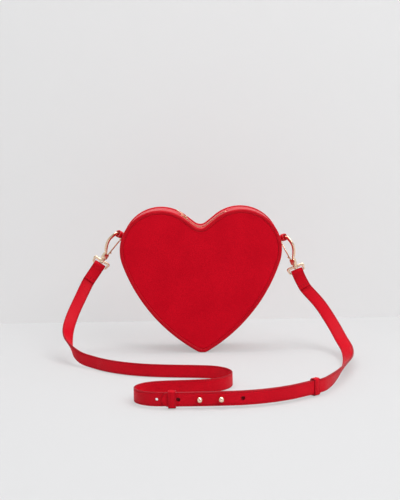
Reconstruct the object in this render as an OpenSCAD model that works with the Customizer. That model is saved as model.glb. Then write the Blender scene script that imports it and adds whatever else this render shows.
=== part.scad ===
// Heart shaped leather box bag that stands on its tip, with a zip over the cleft and a
// long adjustable strap that lies in front of it. The row's origin is on the floor, under
// the tip, in the middle of the front edging's depth. +X is to the bag's right as seen from
// the front, +Y points to its back and +Z is up.

/* [Bag] */
// Width across the two lobes
bag_w = 200; // [180:1:230]
// Height from the tip to the top of the lobes
bag_h = 178; // [165:1:200]
// Depth from the front face to the back face
bag_d = 58; // [50:1:80]
// Radius of the rounded tip
tip_r = 13.3; // [11:0.1:18]
// Width of the worn flat that the tip stands on
tip_flat_w = 6; // [3:0.5:8]
// Radius at the bottom of the cleft
cleft_r = 11; // [8:0.5:14]
// Slope of the straight sides of the cleft, in degrees
cleft_slope = 38; // [34:1:41]

/* [Leather and stiffening] */
// Width of the rolled edging round the front and the back
rim_w = 4.6; // [3.5:0.1:6]
// Depth of the rolled edging
rim_t = 6; // [5:0.1:9]
// Rounding of the edging's front corners
rim_round = 1.8; // [1:0.1:2]
// How far the side band lies inside the edging's outer face
gusset_inset = 1.2; // [0.6:0.1:2]
// Thickness of the bag's leather
leather_t = 1.4; // [1:0.1:2]
// Thickness of the foam under the front and back leather
foam_t = 2.5; // [1.5:0.1:4]
// Thickness of the stiffening board
board_t = 1.5; // [1:0.1:2]
// Thickness of the lining
lining_t = 0.6; // [0.4:0.1:0.8]

/* [Zip] */
// Width of each of the zip's two tapes
tape_w = 7.5; // [6:0.5:9]
// Thickness of a tape
tape_t = 0.6; // [0.4:0.1:0.8]
// Length of a tooth across the zip
tooth_l = 2.1; // [1.8:0.1:2.4]
// Height of a tooth
tooth_h = 2; // [1.6:0.1:2.2]
// Distance from one tooth to the next in a row
tooth_pitch = 2.6; // [2.4:0.1:3.2]
// Length of the slider
slider_l = 8; // [7:0.5:9]
// Length of the puller
puller_l = 15; // [12:0.5:17]
// Width of the puller
puller_w = 5; // [4:0.5:6]

/* [Strap] */
// Width of the strap
strap_w = 15; // [12:0.5:18]
// Thickness of the strap
strap_t = 2; // [1.6:0.1:2.4]
// Length of the sewn fold at each end
fold_l = 22; // [18:1:26]
// Distance between the adjusting holes
hole_pitch = 22; // [18:0.5:24]
// Diameter of the adjusting holes
hole_d = 4; // [3.6:0.1:5]
// Width of the two loops that slide on the strap
keeper_w = 8; // [6:0.5:10]
// Thickness of the leather of these loops
keeper_t = 1.4; // [1:0.1:1.8]
// Diameter of the ball studs
stud_d = 6; // [5:0.1:7]
// Radius of the strap's turn at the right, on the floor
right_turn_r = 33; // [30:1:36]
// Radius of the strap's turn at the left, on the floor
left_turn_r = 30; // [27:1:33]

/* [Snap hooks] */
// Radius of the wire of the claw
claw_wire_r = 1.5; // [1.2:0.1:1.7]
// Radius of the claw's round end, to the middle of the wire
claw_r = 6; // [5.6:0.1:6.4]
// Height of the claw's round end above the strap bar
claw_h = 40.6; // [36:0.1:41]
// Radius of the wire of the strap ring
ring_wire_r = 1.2; // [1:0.1:1.4]
// Radius of the swivel post
post_r = 1.5; // [1.2:0.1:1.7]
// Radius of the gate's pin
pin_r = 0.75; // [0.6:0.05:0.9]
// Lean of the left hook from upright, in degrees
left_lean = 34; // [30:1:42]
// Lean of the right hook from upright, in degrees
right_lean = 21; // [20:1:30]
// Turn of the claws away from the bag's front, in degrees
claw_turn = 37; // [30:1:45]

/* [Hidden] */

// Clearances
running_gap = 0.05;
loose_gap = 0.2;
keeper_gap = 0.3;
glue_gap = 0.13;
cut_over = 1;
round_n = 48;
wire_n = 32;

// Colours
leather_red = [0.76, 0.05, 0.13];
strap_red = [0.74, 0.04, 0.12];
gold = [0.85, 0.66, 0.40];

// The heart's outline, made of tangent arcs and one straight side of the cleft
lobe_r_share = 0.25;
side_r_share = 1.15;
lobe_r = bag_w * lobe_r_share;
side_r = bag_h * side_r_share;
tip_half_angle = asin(tip_flat_w / 2 / tip_r);
lobe_c = [bag_w / 2 - lobe_r, bag_h - lobe_r];
slope_l = (lobe_c.x - (cleft_r + lobe_r) * sin(cleft_slope)) / cos(cleft_slope);
cleft_c = [0, lobe_c.y + (cleft_r + lobe_r) * cos(cleft_slope) - slope_l * sin(cleft_slope)];
tip_c = [0, tip_r * cos(tip_half_angle)];

// Centre of the side's arc, which holds the lobe's arc and the tip's arc inside it
side_a = side_r - lobe_r;
side_b = side_r - tip_r;
side_gap = norm(tip_c - lobe_c);
side_along = (side_a * side_a - side_b * side_b + side_gap * side_gap) / (2 * side_gap);
side_across = sqrt(side_a * side_a - side_along * side_along);
side_dir = (tip_c - lobe_c) / side_gap;
side_c = lobe_c + side_along * side_dir + side_across * [side_dir.y, -side_dir.x];
lobe_end = atan2(lobe_c.y - side_c.y, lobe_c.x - side_c.x);
side_end = atan2(tip_c.y - side_c.y, tip_c.x - side_c.x);

// The lobe's arc is stepped from the cleft to the side seam, and from there to the side
seam_angle = 16;
cleft_steps = 4;
upper_steps = 20;
lower_steps = 8;
side_steps = 10;
tip_steps = 4;
upper_step = (90 + cleft_slope - seam_angle) / upper_steps;

function arc(c, r, a0, a1, n) = [for (i = [0:n]) let (a = a0 + (a1 - a0) * i / n) c + r * [cos(a), sin(a)]];
function last(list) = list[len(list) - 1];
function rest(list) = [for (i = [1:len(list) - 1]) list[i]];
function reversed(list) = [for (i = [len(list) - 1:-1:0]) list[i]];
function mirrored(list) = [for (p = list) [-p.x, p.y]];

// The right half of the outline, inset by off, from the cleft over n steps of the lobe
function upper_half(off, n) = concat(
    arc(cleft_c, cleft_r + off, -90, cleft_slope - 90, cleft_steps),
    arc(lobe_c, lobe_r - off, 90 + cleft_slope, 90 + cleft_slope - n * upper_step, n));
// The right half from the side seam to the tip
function lower_half(off) = concat(
    arc(lobe_c, lobe_r - off, seam_angle, lobe_end, lower_steps),
    rest(arc(side_c, side_r - off, lobe_end, side_end, side_steps)),
    rest(arc(tip_c, tip_r - off, side_end, tip_half_angle - 90, tip_steps)));
function outline(off) =
    let (half = concat(upper_half(off, upper_steps), rest(lower_half(off))))
    concat(half, mirrored(reversed(rest(half))));
// A band between two insets from n_left steps on the left lobe to n_right on the right lobe
function upper_band(outer, inner, n_left, n_right) = concat(
    mirrored(reversed(rest(upper_half(outer, n_left)))), upper_half(outer, n_right),
    reversed(upper_half(inner, n_right)), mirrored(rest(upper_half(inner, n_left))));

// Depths, from the front edging's middle
front_y = -rim_t / 2;
mid_y = front_y + bag_d / 2;
panel_y = front_y + leather_t / 2;
foam_y = panel_y + leather_t;
board_y = foam_y + foam_t;
lining_y = board_y + board_t;
edging_y = front_y + rim_t;
board_inset = gusset_inset + leather_t;
lining_inset = board_inset + board_t;

// A solid that stands between two depths, given its outline in X and Z
module slab(y0, y1) {
    translate([0, y1, 0]) rotate([90, 0, 0]) linear_extrude(height = y1 - y0) children();
}
module at_back() {
    translate([0, 2 * mid_y, 0]) mirror([0, 1, 0]) children();
}

// Front and back faces: leather over foam over board, inside the edging
module face_leather() {
    color(leather_red) slab(panel_y, foam_y) polygon(outline(rim_w));
}
module face_padding() {
    color("white") slab(foam_y, board_y) polygon(outline(rim_w));
}
module face_board() {
    color("tan") slab(board_y, lining_y) polygon(outline(rim_w));
}

// Rolled edging: a rounded profile carried round the outline. A profile point is [inset, depth].
corner_steps = 4;
inner_round = rim_round / 2;
edging_profile = concat(
    [[rim_w, edging_y], [0, edging_y]],
    [for (i = [0:corner_steps]) let (a = 90 * i / corner_steps)
        [rim_round * (1 - cos(a)), front_y + rim_round * (1 - sin(a))]],
    [for (i = [0:corner_steps]) let (a = 90 * i / corner_steps)
        [rim_w - inner_round * (1 - sin(a)), front_y + inner_round * (1 - cos(a))]]);
module edging() {
    n = len(outline(0));
    m = len(edging_profile);
    points = [for (p = edging_profile) for (q = outline(p.x)) [q.x, p.y, q.y]];
    faces = [for (j = [0:m - 1]) for (i = [0:n - 1])
        let (a = j * n + i, b = j * n + (i + 1) % n,
             c = (j + 1) % m * n + (i + 1) % n, d = (j + 1) % m * n + i)
        each [[a, b, c], [a, c, d]]];
    color(leather_red) polyhedron(points, faces);
}

// The side band: two leathers that meet at the side seams, over one band of board. The zip's
// slot runs over the cleft, from a first step on the left lobe to a third on the right lobe.
slot_left_n = 1;
slot_right_n = 3;
zip_slot_w = 7.6;
tape_edge = 2.6;
tape_space = 2 * (tape_edge + tape_w + loose_gap);
module zip_cut(w, n_more, outer_off, inner_off) {
    slab(mid_y - w / 2, mid_y + w / 2)
        polygon(upper_band(outer_off, inner_off, slot_left_n + n_more, slot_right_n + n_more));
}
module top_gusset() {
    color(leather_red) difference() {
        slab(edging_y, 2 * mid_y - edging_y)
            polygon(upper_band(gusset_inset, board_inset, upper_steps, upper_steps));
        zip_cut(zip_slot_w, 0, gusset_inset - cut_over, board_inset + cut_over);
    }
}
module lower_gusset() {
    color(leather_red) slab(edging_y, 2 * mid_y - edging_y) polygon(concat(
        lower_half(gusset_inset), mirrored(reversed(lower_half(gusset_inset))),
        mirrored(lower_half(board_inset)), reversed(lower_half(board_inset))));
}
module gusset_board() {
    color("tan") difference() {
        slab(edging_y, 2 * mid_y - edging_y) difference() {
            polygon(outline(board_inset));
            polygon(outline(lining_inset));
        }
        zip_cut(tape_space, 1, board_inset - cut_over, lining_inset + cut_over);
    }
}
module lining() {
    color("dimgray") difference() {
        slab(lining_y, 2 * mid_y - lining_y) polygon(outline(lining_inset));
        slab(lining_y + lining_t, 2 * mid_y - lining_y - lining_t) polygon(outline(lining_inset + lining_t));
        zip_cut(zip_slot_w, 0, lining_inset - cut_over, lining_inset + lining_t + cut_over);
    }
}

// The zip: a place along its length, measured from the cleft's middle, with the slope there
zip_off = board_inset + tape_t / 2;
zip_cleft_l = (cleft_r + zip_off) * cleft_slope * PI / 180;
zip_step_l = (lobe_r - zip_off) * upper_step * PI / 180;
zip_left_l = zip_cleft_l + slope_l + slot_left_n * zip_step_l;
zip_right_l = zip_cleft_l + slope_l + slot_right_n * zip_step_l;
function zip_slope(s) =
    s < zip_cleft_l ? s / (cleft_r + zip_off) * 180 / PI :
    s < zip_cleft_l + slope_l ? cleft_slope :
    cleft_slope - (s - zip_cleft_l - slope_l) / (lobe_r - zip_off) * 180 / PI;
function zip_place(s) =
    s < zip_cleft_l ? cleft_c + (cleft_r + zip_off) * [sin(zip_slope(s)), -cos(zip_slope(s))] :
    s < zip_cleft_l + slope_l ? cleft_c + (cleft_r + zip_off) * [sin(cleft_slope), -cos(cleft_slope)]
        + (s - zip_cleft_l) * [cos(cleft_slope), sin(cleft_slope)] :
    lobe_c + (lobe_r - zip_off) * [-sin(zip_slope(s)), cos(zip_slope(s))];
module on_zip(s) {
    p = zip_place(abs(s));
    side = s < 0 ? -1 : 1;
    translate([side * p.x, mid_y, p.y]) rotate([0, -side * zip_slope(abs(s)), 0]) children();
}
module zip_tape() {
    color([0.55, 0.03, 0.09]) slab(mid_y - tape_edge - tape_w, mid_y - tape_edge)
        polygon(upper_band(board_inset, board_inset + tape_t, slot_left_n + 1, slot_right_n + 1));
}
tooth_gap = 0.2;
stop_l = 2;
tooth_t = tooth_pitch / 2 - tooth_gap;
first_tooth = floor((zip_left_l - stop_l - tooth_pitch) / tooth_pitch);
last_tooth = floor((zip_right_l - stop_l - tooth_pitch) / tooth_pitch);
module zip_teeth(shift) {
    color(gold) for (i = [-first_tooth:last_tooth])
        on_zip((i + shift) * tooth_pitch)
            translate([-tooth_t / 2, -tape_edge, -tooth_h / 2]) cube([tooth_t, tooth_l, tooth_h]);
}
module zip_stops() {
    color(gold) for (s = [stop_l / 2 - zip_left_l, zip_right_l - stop_l / 2])
        on_zip(s) translate([-stop_l / 2, -tape_edge, -tooth_h / 2]) cube([stop_l, 2 * tape_edge, tooth_h]);
}

// The slider: two plates on a thin post between the rows, and ears with a pin for the puller
slider_plate_t = 0.9;
slider_gap = 0.35;
slider_lip = 0.8;
slider_post_l = 2;
slider_post_w = 0.8;
slider_ear_t = 0.8;
puller_barrel_r = 1.1;
puller_pin_r = 0.55;
puller_neck_w = 2.8;
puller_neck_l = 1.8;
puller_t = 1;
slider_w = 2 * (tape_edge + slider_lip);
slider_top = tooth_h / 2 + slider_gap + slider_plate_t;
puller_lift = slider_top + puller_barrel_r + loose_gap;
ear_y = puller_neck_w / 2 + loose_gap;
module at_slider() {
    on_zip(stop_l + loose_gap + slider_l / 2 - zip_left_l) children();
}
module zip_slider() {
    color(gold) at_slider() {
        for (side = [0, 1]) mirror([0, 0, side])
            translate([-slider_l / 2, -slider_w / 2, slider_top - slider_plate_t])
                cube([slider_l, slider_w, slider_plate_t]);
        translate([-slider_post_l / 2, -slider_post_w / 2, -slider_top])
            cube([slider_post_l, slider_post_w, 2 * slider_top]);
        for (side = [0, 1]) mirror([0, side, 0]) translate([0, ear_y, 0]) {
            translate([-puller_barrel_r, 0, slider_top - slider_plate_t])
                cube([2 * puller_barrel_r, slider_ear_t, puller_lift - slider_top + slider_plate_t]);
            translate([0, slider_ear_t, puller_lift]) rotate([90, 0, 0])
                cylinder(r = puller_barrel_r, h = slider_ear_t, $fn = wire_n);
        }
        translate([0, 0, puller_lift]) rotate([90, 0, 0])
            cylinder(r = puller_pin_r, h = 2 * (ear_y + slider_ear_t), center = true, $fn = wire_n);
    }
}
module zip_puller() {
    color(gold) at_slider() translate([0, 0, puller_lift]) difference() {
        union() {
            rotate([90, 0, 0]) cylinder(r = puller_barrel_r, h = puller_neck_w, center = true, $fn = wire_n);
            translate([-puller_neck_l, -puller_neck_w / 2, -puller_barrel_r])
                cube([puller_neck_l, puller_neck_w, puller_t]);
            translate([-puller_l + puller_w / 2, -puller_w / 2, -puller_barrel_r])
                cube([puller_l - puller_w / 2 - puller_neck_l, puller_w, puller_t]);
            translate([-puller_l + puller_w / 2, 0, -puller_barrel_r])
                cylinder(d = puller_w, h = puller_t, $fn = round_n);
        }
        rotate([90, 0, 0])
            cylinder(r = puller_pin_r + running_gap, h = puller_w, center = true, $fn = wire_n);
    }
}

// Side tabs and snap hooks. A side is [lean of the hook, angle of the tab's loop on the lobe,
// reach of the loop from the side band], and its places are measured outward from the middle.
left = [left_lean, 20, 6.2];
right = [right_lean, 11.5, 6.2];
tab_hole_r = 3.2;
tab_w = 5.5;
tab_turn = 45;
patch_w = 10;
patch_t = 1;
patch_half_angle = 7;
patch_steps = 4;
neck_low = 0.8;
neck_high = 3.4;
// The claw curves down on both sides of the loop's leather, which it clears as it turns
claw_play = 0.6;
claw_inner_r = claw_r - claw_wire_r;
claw_drop = claw_inner_r - sqrt(claw_inner_r * claw_inner_r - tab_w * tab_w / 4);
claw_seat = tab_hole_r - claw_wire_r - claw_play - claw_drop;
function loop_at(side) = lobe_c + (lobe_r - gusset_inset + side[2]) * [cos(side[1]), sin(side[1])];
function bar_at(side) = loop_at(side) + (claw_seat + claw_h + claw_r) * [sin(side[0]), -cos(side[0])];
module at_side(side, place) {
    translate([-place.x, mid_y, place.y]) rotate([0, side[0], 0]) children();
}
module tab(side) {
    patch_r = lobe_r - gusset_inset + glue_gap;
    loop_r = lobe_r - gusset_inset + side[2];
    color(leather_red) {
        mirror([1, 0, 0]) slab(mid_y - patch_w / 2, mid_y + patch_w / 2) polygon(concat(
            arc(lobe_c, patch_r, seam_angle - patch_half_angle, seam_angle + patch_half_angle, patch_steps),
            arc(lobe_c, patch_r + patch_t, seam_angle + patch_half_angle,
                seam_angle - patch_half_angle, patch_steps)));
        difference() {
            union() {
                at_side(side, loop_at(side)) rotate([0, 0, tab_turn]) rotate([0, 90, 0])
                    cylinder(r = tab_hole_r + leather_t, h = tab_w, center = true, $fn = round_n);
                mirror([1, 0, 0]) translate([lobe_c.x, mid_y, lobe_c.y]) rotate([0, -side[1], 0])
                    translate([patch_r + patch_t / 2, -tab_w / 2, neck_low])
                        cube([loop_r - tab_hole_r - patch_r - patch_t / 2, tab_w, neck_high - neck_low]);
            }
            at_side(side, loop_at(side)) rotate([0, 0, tab_turn]) rotate([0, 90, 0])
                cylinder(r = tab_hole_r, h = tab_w + 2 * cut_over, center = true, $fn = round_n);
        }
    }
}

// Strap ring: a wire rectangle with round corners and a boss for the swivel post. Heights are
// measured from the axis of the bar that holds the strap, towards the claw.
wrap_gap = 0.15;
head_gap = 0.5;
head_r = 2.4;
head_t = 1.1;
boss_r = 2.7;
boss_h = 3.8;
ring_side_gap = 0.7;
ring_corner_r = 1.6;
wrap_r = ring_wire_r + wrap_gap + strap_t / 2;
head_z = wrap_r + strap_t / 2 + head_gap;
boss_z = head_z + head_t + loose_gap;
ring_top = boss_z + boss_h / 2;
ring_half_w = strap_w / 2 + ring_side_gap + ring_wire_r;
module ring_corner(x, z, turn) {
    translate([x, 0, z]) rotate([90, 0, 0]) rotate([0, 0, turn]) rotate_extrude(angle = 90, $fn = round_n)
        translate([ring_corner_r, 0]) circle(r = ring_wire_r, $fn = wire_n);
}
module strap_ring() {
    dx = ring_half_w - ring_corner_r;
    top = ring_top - ring_corner_r;
    color(gold) difference() {
        union() {
            for (z = [0, ring_top]) translate([-dx, 0, z]) rotate([0, 90, 0])
                cylinder(r = ring_wire_r, h = 2 * dx, $fn = wire_n);
            for (x = [-ring_half_w, ring_half_w]) translate([x, 0, ring_corner_r])
                cylinder(r = ring_wire_r, h = top - ring_corner_r, $fn = wire_n);
            ring_corner(dx, top, 0);
            ring_corner(-dx, top, 90);
            ring_corner(-dx, ring_corner_r, 180);
            ring_corner(dx, ring_corner_r, 270);
            translate([0, 0, boss_z]) cylinder(r = boss_r, h = boss_h, $fn = round_n);
        }
        translate([0, 0, boss_z - cut_over])
            cylinder(r = post_r + running_gap, h = boss_h + 2 * cut_over, $fn = round_n);
    }
}

// Hook body: post head, swivel post, collar, slotted base and the bent wire of the claw
collar_r = 2.9;
collar_t = 1.2;
base_r = 4;
base_t = 4.6;
base_h = 6.7;
slot_w = 2.4;
slot_x = -1;
pivot_x = 2.4;
pivot_h = 4.25;
nose_angle = 8;
nose_gap = 0.25;
claw_back_r = 60;
collar_z = boss_z + boss_h + loose_gap;
base_z = collar_z + collar_t;
base_top = base_z + base_h;
pivot_z = base_z + pivot_h;
slot_z = base_z + 1.95;
claw_back_angle = asin((claw_h - base_top + claw_wire_r / 2) / claw_back_r);
nose_x = claw_r * cos(nose_angle);
nose_z = claw_h - claw_r * sin(nose_angle);
module claw_wire() {
    translate([0, 0, claw_h]) rotate([90, 0, 0]) rotate([0, 0, -nose_angle])
        rotate_extrude(angle = 180 + nose_angle, $fn = 2 * round_n)
            translate([claw_r, 0]) circle(r = claw_wire_r, $fn = wire_n);
    translate([claw_back_r - claw_r, 0, claw_h]) rotate([90, 0, 0]) rotate([0, 0, 180])
        rotate_extrude(angle = claw_back_angle, $fn = 8 * round_n)
            translate([claw_back_r, 0]) circle(r = claw_wire_r, $fn = wire_n);
}
module hook_body() {
    color(gold) rotate([0, 0, claw_turn]) {
        translate([0, 0, head_z]) cylinder(r = head_r, h = head_t, $fn = round_n);
        translate([0, 0, head_z]) cylinder(r = post_r, h = base_z - head_z, $fn = round_n);
        translate([0, 0, collar_z]) cylinder(r = collar_r, h = collar_t, $fn = round_n);
        difference() {
            union() {
                intersection() {
                    translate([0, 0, base_z]) cylinder(r = base_r, h = base_h, $fn = round_n);
                    translate([-base_r, -base_t / 2, base_z]) cube([2 * base_r, base_t, base_h]);
                }
                claw_wire();
            }
            translate([slot_x, -slot_w / 2, slot_z]) cube([2 * base_r, slot_w, base_h]);
            translate([pivot_x, 0, pivot_z]) rotate([90, 0, 0])
                cylinder(r = pin_r, h = 2 * base_t, center = true, $fn = wire_n);
        }
    }
}

// The gate turns on a pin in the base's cheeks, and a leaf in the slot pushes it shut
gate_r = 0.9;
gate_eye_r = 1.7;
gate_eye_t = 2;
lug_x = 2;
lug_z = 5;
lug_w = 2.6;
lug_h = 2;
spring_l = 3.6;
spring_w = 1.6;
spring_t = 0.3;
gate_lean = atan2(nose_x - pivot_x, nose_z - pivot_z);
gate_l = norm([nose_x - pivot_x, nose_z - pivot_z]) - nose_gap;
module gate() {
    color(gold) rotate([0, 0, claw_turn]) translate([pivot_x, 0, pivot_z]) rotate([0, gate_lean, 0])
        difference() {
            union() {
                rotate([90, 0, 0]) cylinder(r = gate_eye_r, h = gate_eye_t, center = true, $fn = round_n);
                cylinder(r = gate_r, h = gate_l, $fn = wire_n);
                translate([0, -lug_w / 2, lug_z]) cube([lug_x, lug_w, lug_h]);
            }
            rotate([90, 0, 0]) cylinder(r = pin_r + running_gap, h = base_t, center = true, $fn = wire_n);
        }
}
module gate_pin() {
    color(gold) rotate([0, 0, claw_turn]) translate([pivot_x, 0, pivot_z]) rotate([90, 0, 0])
        cylinder(r = pin_r, h = base_t, center = true, $fn = wire_n);
}
module gate_spring() {
    color("silver") rotate([0, 0, claw_turn])
        translate([pivot_x - spring_l / 2, -spring_w / 2, slot_z]) cube([spring_l, spring_w, spring_t]);
}
module left_at() {
    at_side(left, bar_at(left)) children();
}
module right_at() {
    mirror([1, 0, 0]) at_side(right, bar_at(right)) children();
}

// The strap's route on the floor: a bend, a run, the right turn, a run, the left turn, the
// front run and a last bend. A place is [x, y, heading], and turns to the left are positive.
first_hole = -5;
stud_holes = [2, 3];
screw_head_r = 3;
screw_margin = 0.6;
start_heading = -52;
start_bend_r = 130;
start_bend_a = 42;
run_1_l = 50;
right_turn_a = -165;
run_2_l = 46;
left_turn_a = 175;
run_3_l = first_hole + last(stud_holes) * hole_pitch + screw_head_r + screw_margin;
end_bend_r = 125;
end_bend_a = 42;
end_l = 26.8;
bend_steps = 7;
turn_steps = 22;
turn_end_share = [-0.215, -1.36];
turn_end = bag_w * turn_end_share;
layer_gap = 0.1;
layer_off = (strap_t + layer_gap) / 2;
keeper_lift = keeper_t + keeper_gap + loose_gap;
function ahead(p, l) = [p.x + l * cos(p.z), p.y + l * sin(p.z), p.z];
function bend(p, r, a, n) = let (s = sign(a), cx = p.x - s * r * sin(p.z), cy = p.y + s * r * cos(p.z))
    [for (i = [1:n]) let (h = p.z + a * i / n) [cx + s * r * sin(h), cy - s * r * cos(h), h]];
start = [0, 0, start_heading];
start_part = concat([start], bend(start, start_bend_r, start_bend_a, bend_steps));
run_1_part = [ahead(last(start_part), run_1_l)];
right_part = bend(last(run_1_part), right_turn_r, right_turn_a, turn_steps);
run_2_part = [ahead(last(right_part), run_2_l)];
left_part = bend(last(run_2_part), left_turn_r, left_turn_a, turn_steps);
run_3_part = [ahead(last(left_part), run_3_l)];
end_part = bend(last(run_3_part), end_bend_r, end_bend_a, bend_steps);
route_shift = [turn_end.x - last(left_part).x, turn_end.y - last(left_part).y];
low_z = strap_w / 2;
high_z = low_z + keeper_lift;
down = [0, 0, -1];
function smooth(t) = t < 0 ? 0 : t > 1 ? 1 : t * t * (3 - 2 * t);
// A station of the strap is [centre, direction across its width]
function floor_station(p, lift) =
    [[p.x + route_shift.x, p.y + route_shift.y, low_z + keeper_lift * lift], down];
floor_low = [for (p = concat(start_part, run_1_part, right_part, run_2_part)) floor_station(p, 0)];
floor_turn = [for (i = [0:turn_steps - 1]) floor_station(left_part[i], smooth((i + 1) / turn_steps))];
floor_high = [for (p = concat(run_3_part, end_part, [ahead(last(end_part), end_l)])) floor_station(p, 1)];

// The hanging ends. Their points are [x, y] as shares of the bag's width and the height over
// the strap on the floor as a share of the bag's height.
left_route_shares = [[-0.7525, 0.06, 0.357], [-0.8025, -0.03, 0.233], [-0.82, -0.135, 0.138],
                     [-0.795, -0.245, 0.065], [-0.73, -0.34, 0.017]];
right_route_shares = [[0.67, -1.033, 0.0107], [0.72, -0.91, 0.0107], [0.785, -0.71, 0.013],
                      [0.84, -0.495, 0.018], [0.86, -0.3, 0.0365], [0.8425, -0.145, 0.076],
                      [0.8025, -0.035, 0.16], [0.7375, 0.055, 0.2725]];
span_steps = 6;
fold_steps = 4;
wrap_steps = 8;
wrap_dip = 15;
fold_near = 2.2 * wrap_r;
left_drift = [-0.5, -3, 0];
right_drift = [1.5, -3, 1];
function route_point(s) = [s[0] * bag_w, s[1] * bag_w, low_z + s[2] * bag_h];
function mix(a, b, t) = a * (1 - t) + b * t;
function unit(v) = v / norm(v);
function spline_at(a, b, c, d, t) =
    (2 * b + (c - a) * t + (2 * a - 5 * b + 4 * c - d) * t * t + (3 * b - a - 3 * c + d) * t * t * t) / 2;
function spline(list) = [for (i = [1:len(list) - 3]) for (k = [0:span_steps - 1])
    spline_at(list[i - 1], list[i], list[i + 1], list[i + 2], k / span_steps)];
// Directions of a ring: up towards the claw, and across towards the side [1] or the other [-1]
function ring_up(side, sx) = [-sx * sin(side[0]), 0, cos(side[0])];
function ring_across(side, sx) = [-sx * cos(side[0]), 0, -sin(side[0])];
function ring_bar(side, sx) = [sx * bar_at(side).x, mid_y, bar_at(side).y];
// The middle between the strap's two layers, a length l below the ring's bar
function spine(side, sx, drift, l) = ring_bar(side, sx) - l * ring_up(side, sx) + drift * pow(l / fold_l, 2);
// The wrapped end: down the back, over the bar and down the front of the strap
function fold_at(i) = fold_near + (fold_l - fold_near) * i / fold_steps;
function wrap(side, sx, drift) = concat(
    [for (i = [fold_steps:-1:0])
        [spine(side, sx, drift, fold_at(i)) + [0, layer_off, 0], ring_across(side, sx)]],
    [for (i = [0:wrap_steps]) let (a = -wrap_dip + (180 + 2 * wrap_dip) * i / wrap_steps)
        [ring_bar(side, sx) + wrap_r * ([0, cos(a), 0] + sin(a) * ring_up(side, sx)),
         ring_across(side, sx)]],
    [for (i = [0:fold_steps])
        [spine(side, sx, drift, fold_at(i)) - [0, layer_off, 0], ring_across(side, sx)]]);
left_points = concat([spine(left, -1, left_drift, fold_l / 2), spine(left, -1, left_drift, fold_l)],
    [for (s = left_route_shares) route_point(s)], [floor_low[0][0], floor_low[1][0]]);
right_points = concat([floor_high[len(floor_high) - 2][0], last(floor_high)[0]],
    [for (s = right_route_shares) route_point(s)],
    [spine(right, 1, right_drift, fold_l), spine(right, 1, right_drift, fold_l / 2)]);
left_spline = spline(left_points);
right_spline = spline(right_points);
left_hang = [for (i = [0:len(left_spline) - 1]) let (t = i / len(left_spline))
    [left_spline[i], mix(ring_across(left, -1), down, smooth((t - 0.36) / 0.58))
        - [0, 0.3 * exp(-pow((t - 0.24) / 0.187, 2)) * smooth(t / 0.15), 0]]];
right_hang = [for (i = [0:len(right_spline) - 1]) let (t = i / len(right_spline))
    [right_spline[i], mix(down, ring_across(right, 1), smooth(t / 0.667))]];

// A strip swept through stations, with four corners at each one
function tangent(list, i) = unit((i > 0 ? unit(list[i][0] - list[i - 1][0]) : [0, 0, 0])
    + (i < len(list) - 1 ? unit(list[i + 1][0] - list[i][0]) : [0, 0, 0]));
function across(list, i) = let (t = tangent(list, i), u = list[i][1]) unit(u - (u * t) * t);
function facing(list, i) = cross(tangent(list, i), across(list, i));
module ribbon(list) {
    n = len(list);
    points = [for (i = [0:n - 1])
        let (c = list[i][0], w = (is_undef(list[i][2]) ? strap_w / 2 : list[i][2]) * across(list, i),
             f = strap_t / 2 * facing(list, i))
        each [c + w + f, c - w + f, c - w - f, c + w - f]];
    sides = [for (i = [0:n - 2]) for (k = [0:3])
        let (a = 4 * i + k, b = 4 * i + (k + 1) % 4) each [[a, a + 4, b + 4], [a, b + 4, b]]];
    ends = [[0, 1, 2], [0, 2, 3], [4 * n - 4, 4 * n - 2, 4 * n - 3], [4 * n - 4, 4 * n - 1, 4 * n - 2]];
    color(strap_red) polyhedron(points, concat(sides, ends));
}
function layer(list, from, to, n) = [for (i = [0:len(list) - 1])
    [list[i][0] + mix(from, to, smooth(i / n)) * facing(list, i), list[i][1], list[i][2]]];

// The strap lies in two layers along the front run. Distances there are from the left turn's end.
front_tip_l = strap_w / 2;
front_tip_steps = 5;
end_keeper_at = 17;
tip_keeper_at = 10.6;
front_tip = [for (i = [1:front_tip_steps]) let (a = 90 * i / front_tip_steps)
    [[turn_end.x + front_tip_l * (1 - cos(a)), turn_end.y, high_z], down, strap_w / 2 * sin(a)]];
long_route = concat(left_hang, floor_low, floor_turn, floor_high);
short_route = concat(front_tip, floor_high, rest(right_hang));
end_bend_l = end_bend_r * end_bend_a * PI / 180;
function run_place(s) =
    s < 0 ? let (a = s / left_turn_r * 180 / PI)
        [turn_end.x + left_turn_r * sin(a), turn_end.y + left_turn_r * (1 - cos(a)), a] :
    s < run_3_l ? [turn_end.x + s, turn_end.y, 0] :
    s < run_3_l + end_bend_l ? let (a = (s - run_3_l) / end_bend_r * 180 / PI)
        [turn_end.x + run_3_l + end_bend_r * sin(a), turn_end.y + end_bend_r * (1 - cos(a)), a] :
    ahead([turn_end.x + run_3_l + end_bend_r * sin(end_bend_a),
           turn_end.y + end_bend_r * (1 - cos(end_bend_a)), end_bend_a], s - run_3_l - end_bend_l);
module on_run(s) {
    p = run_place(s);
    translate([p.x, p.y, high_z]) rotate([0, 0, p.z]) children();
}
module strap_hole(i, r) {
    on_run(first_hole + i * hole_pitch) rotate([90, 0, 0])
        cylinder(r = r, h = 4 * strap_t, center = true, $fn = wire_n);
}
neck_r = 1.6;
module long_strap() {
    difference() {
        ribbon(concat(reversed(wrap(left, -1, left_drift)),
            rest(layer(long_route, -layer_off, layer_off, len(left_hang)))));
        color(strap_red) {
            for (i = [0, 1, 4]) strap_hole(i, hole_d / 2);
            for (i = stud_holes) strap_hole(i, neck_r + running_gap);
        }
    }
}
module short_strap() {
    difference() {
        ribbon(concat(layer(short_route, -layer_off, -layer_off, 1), wrap(right, 1, right_drift)));
        color(strap_red) for (i = [1:4]) strap_hole(i, hole_d / 2);
    }
}

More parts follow.
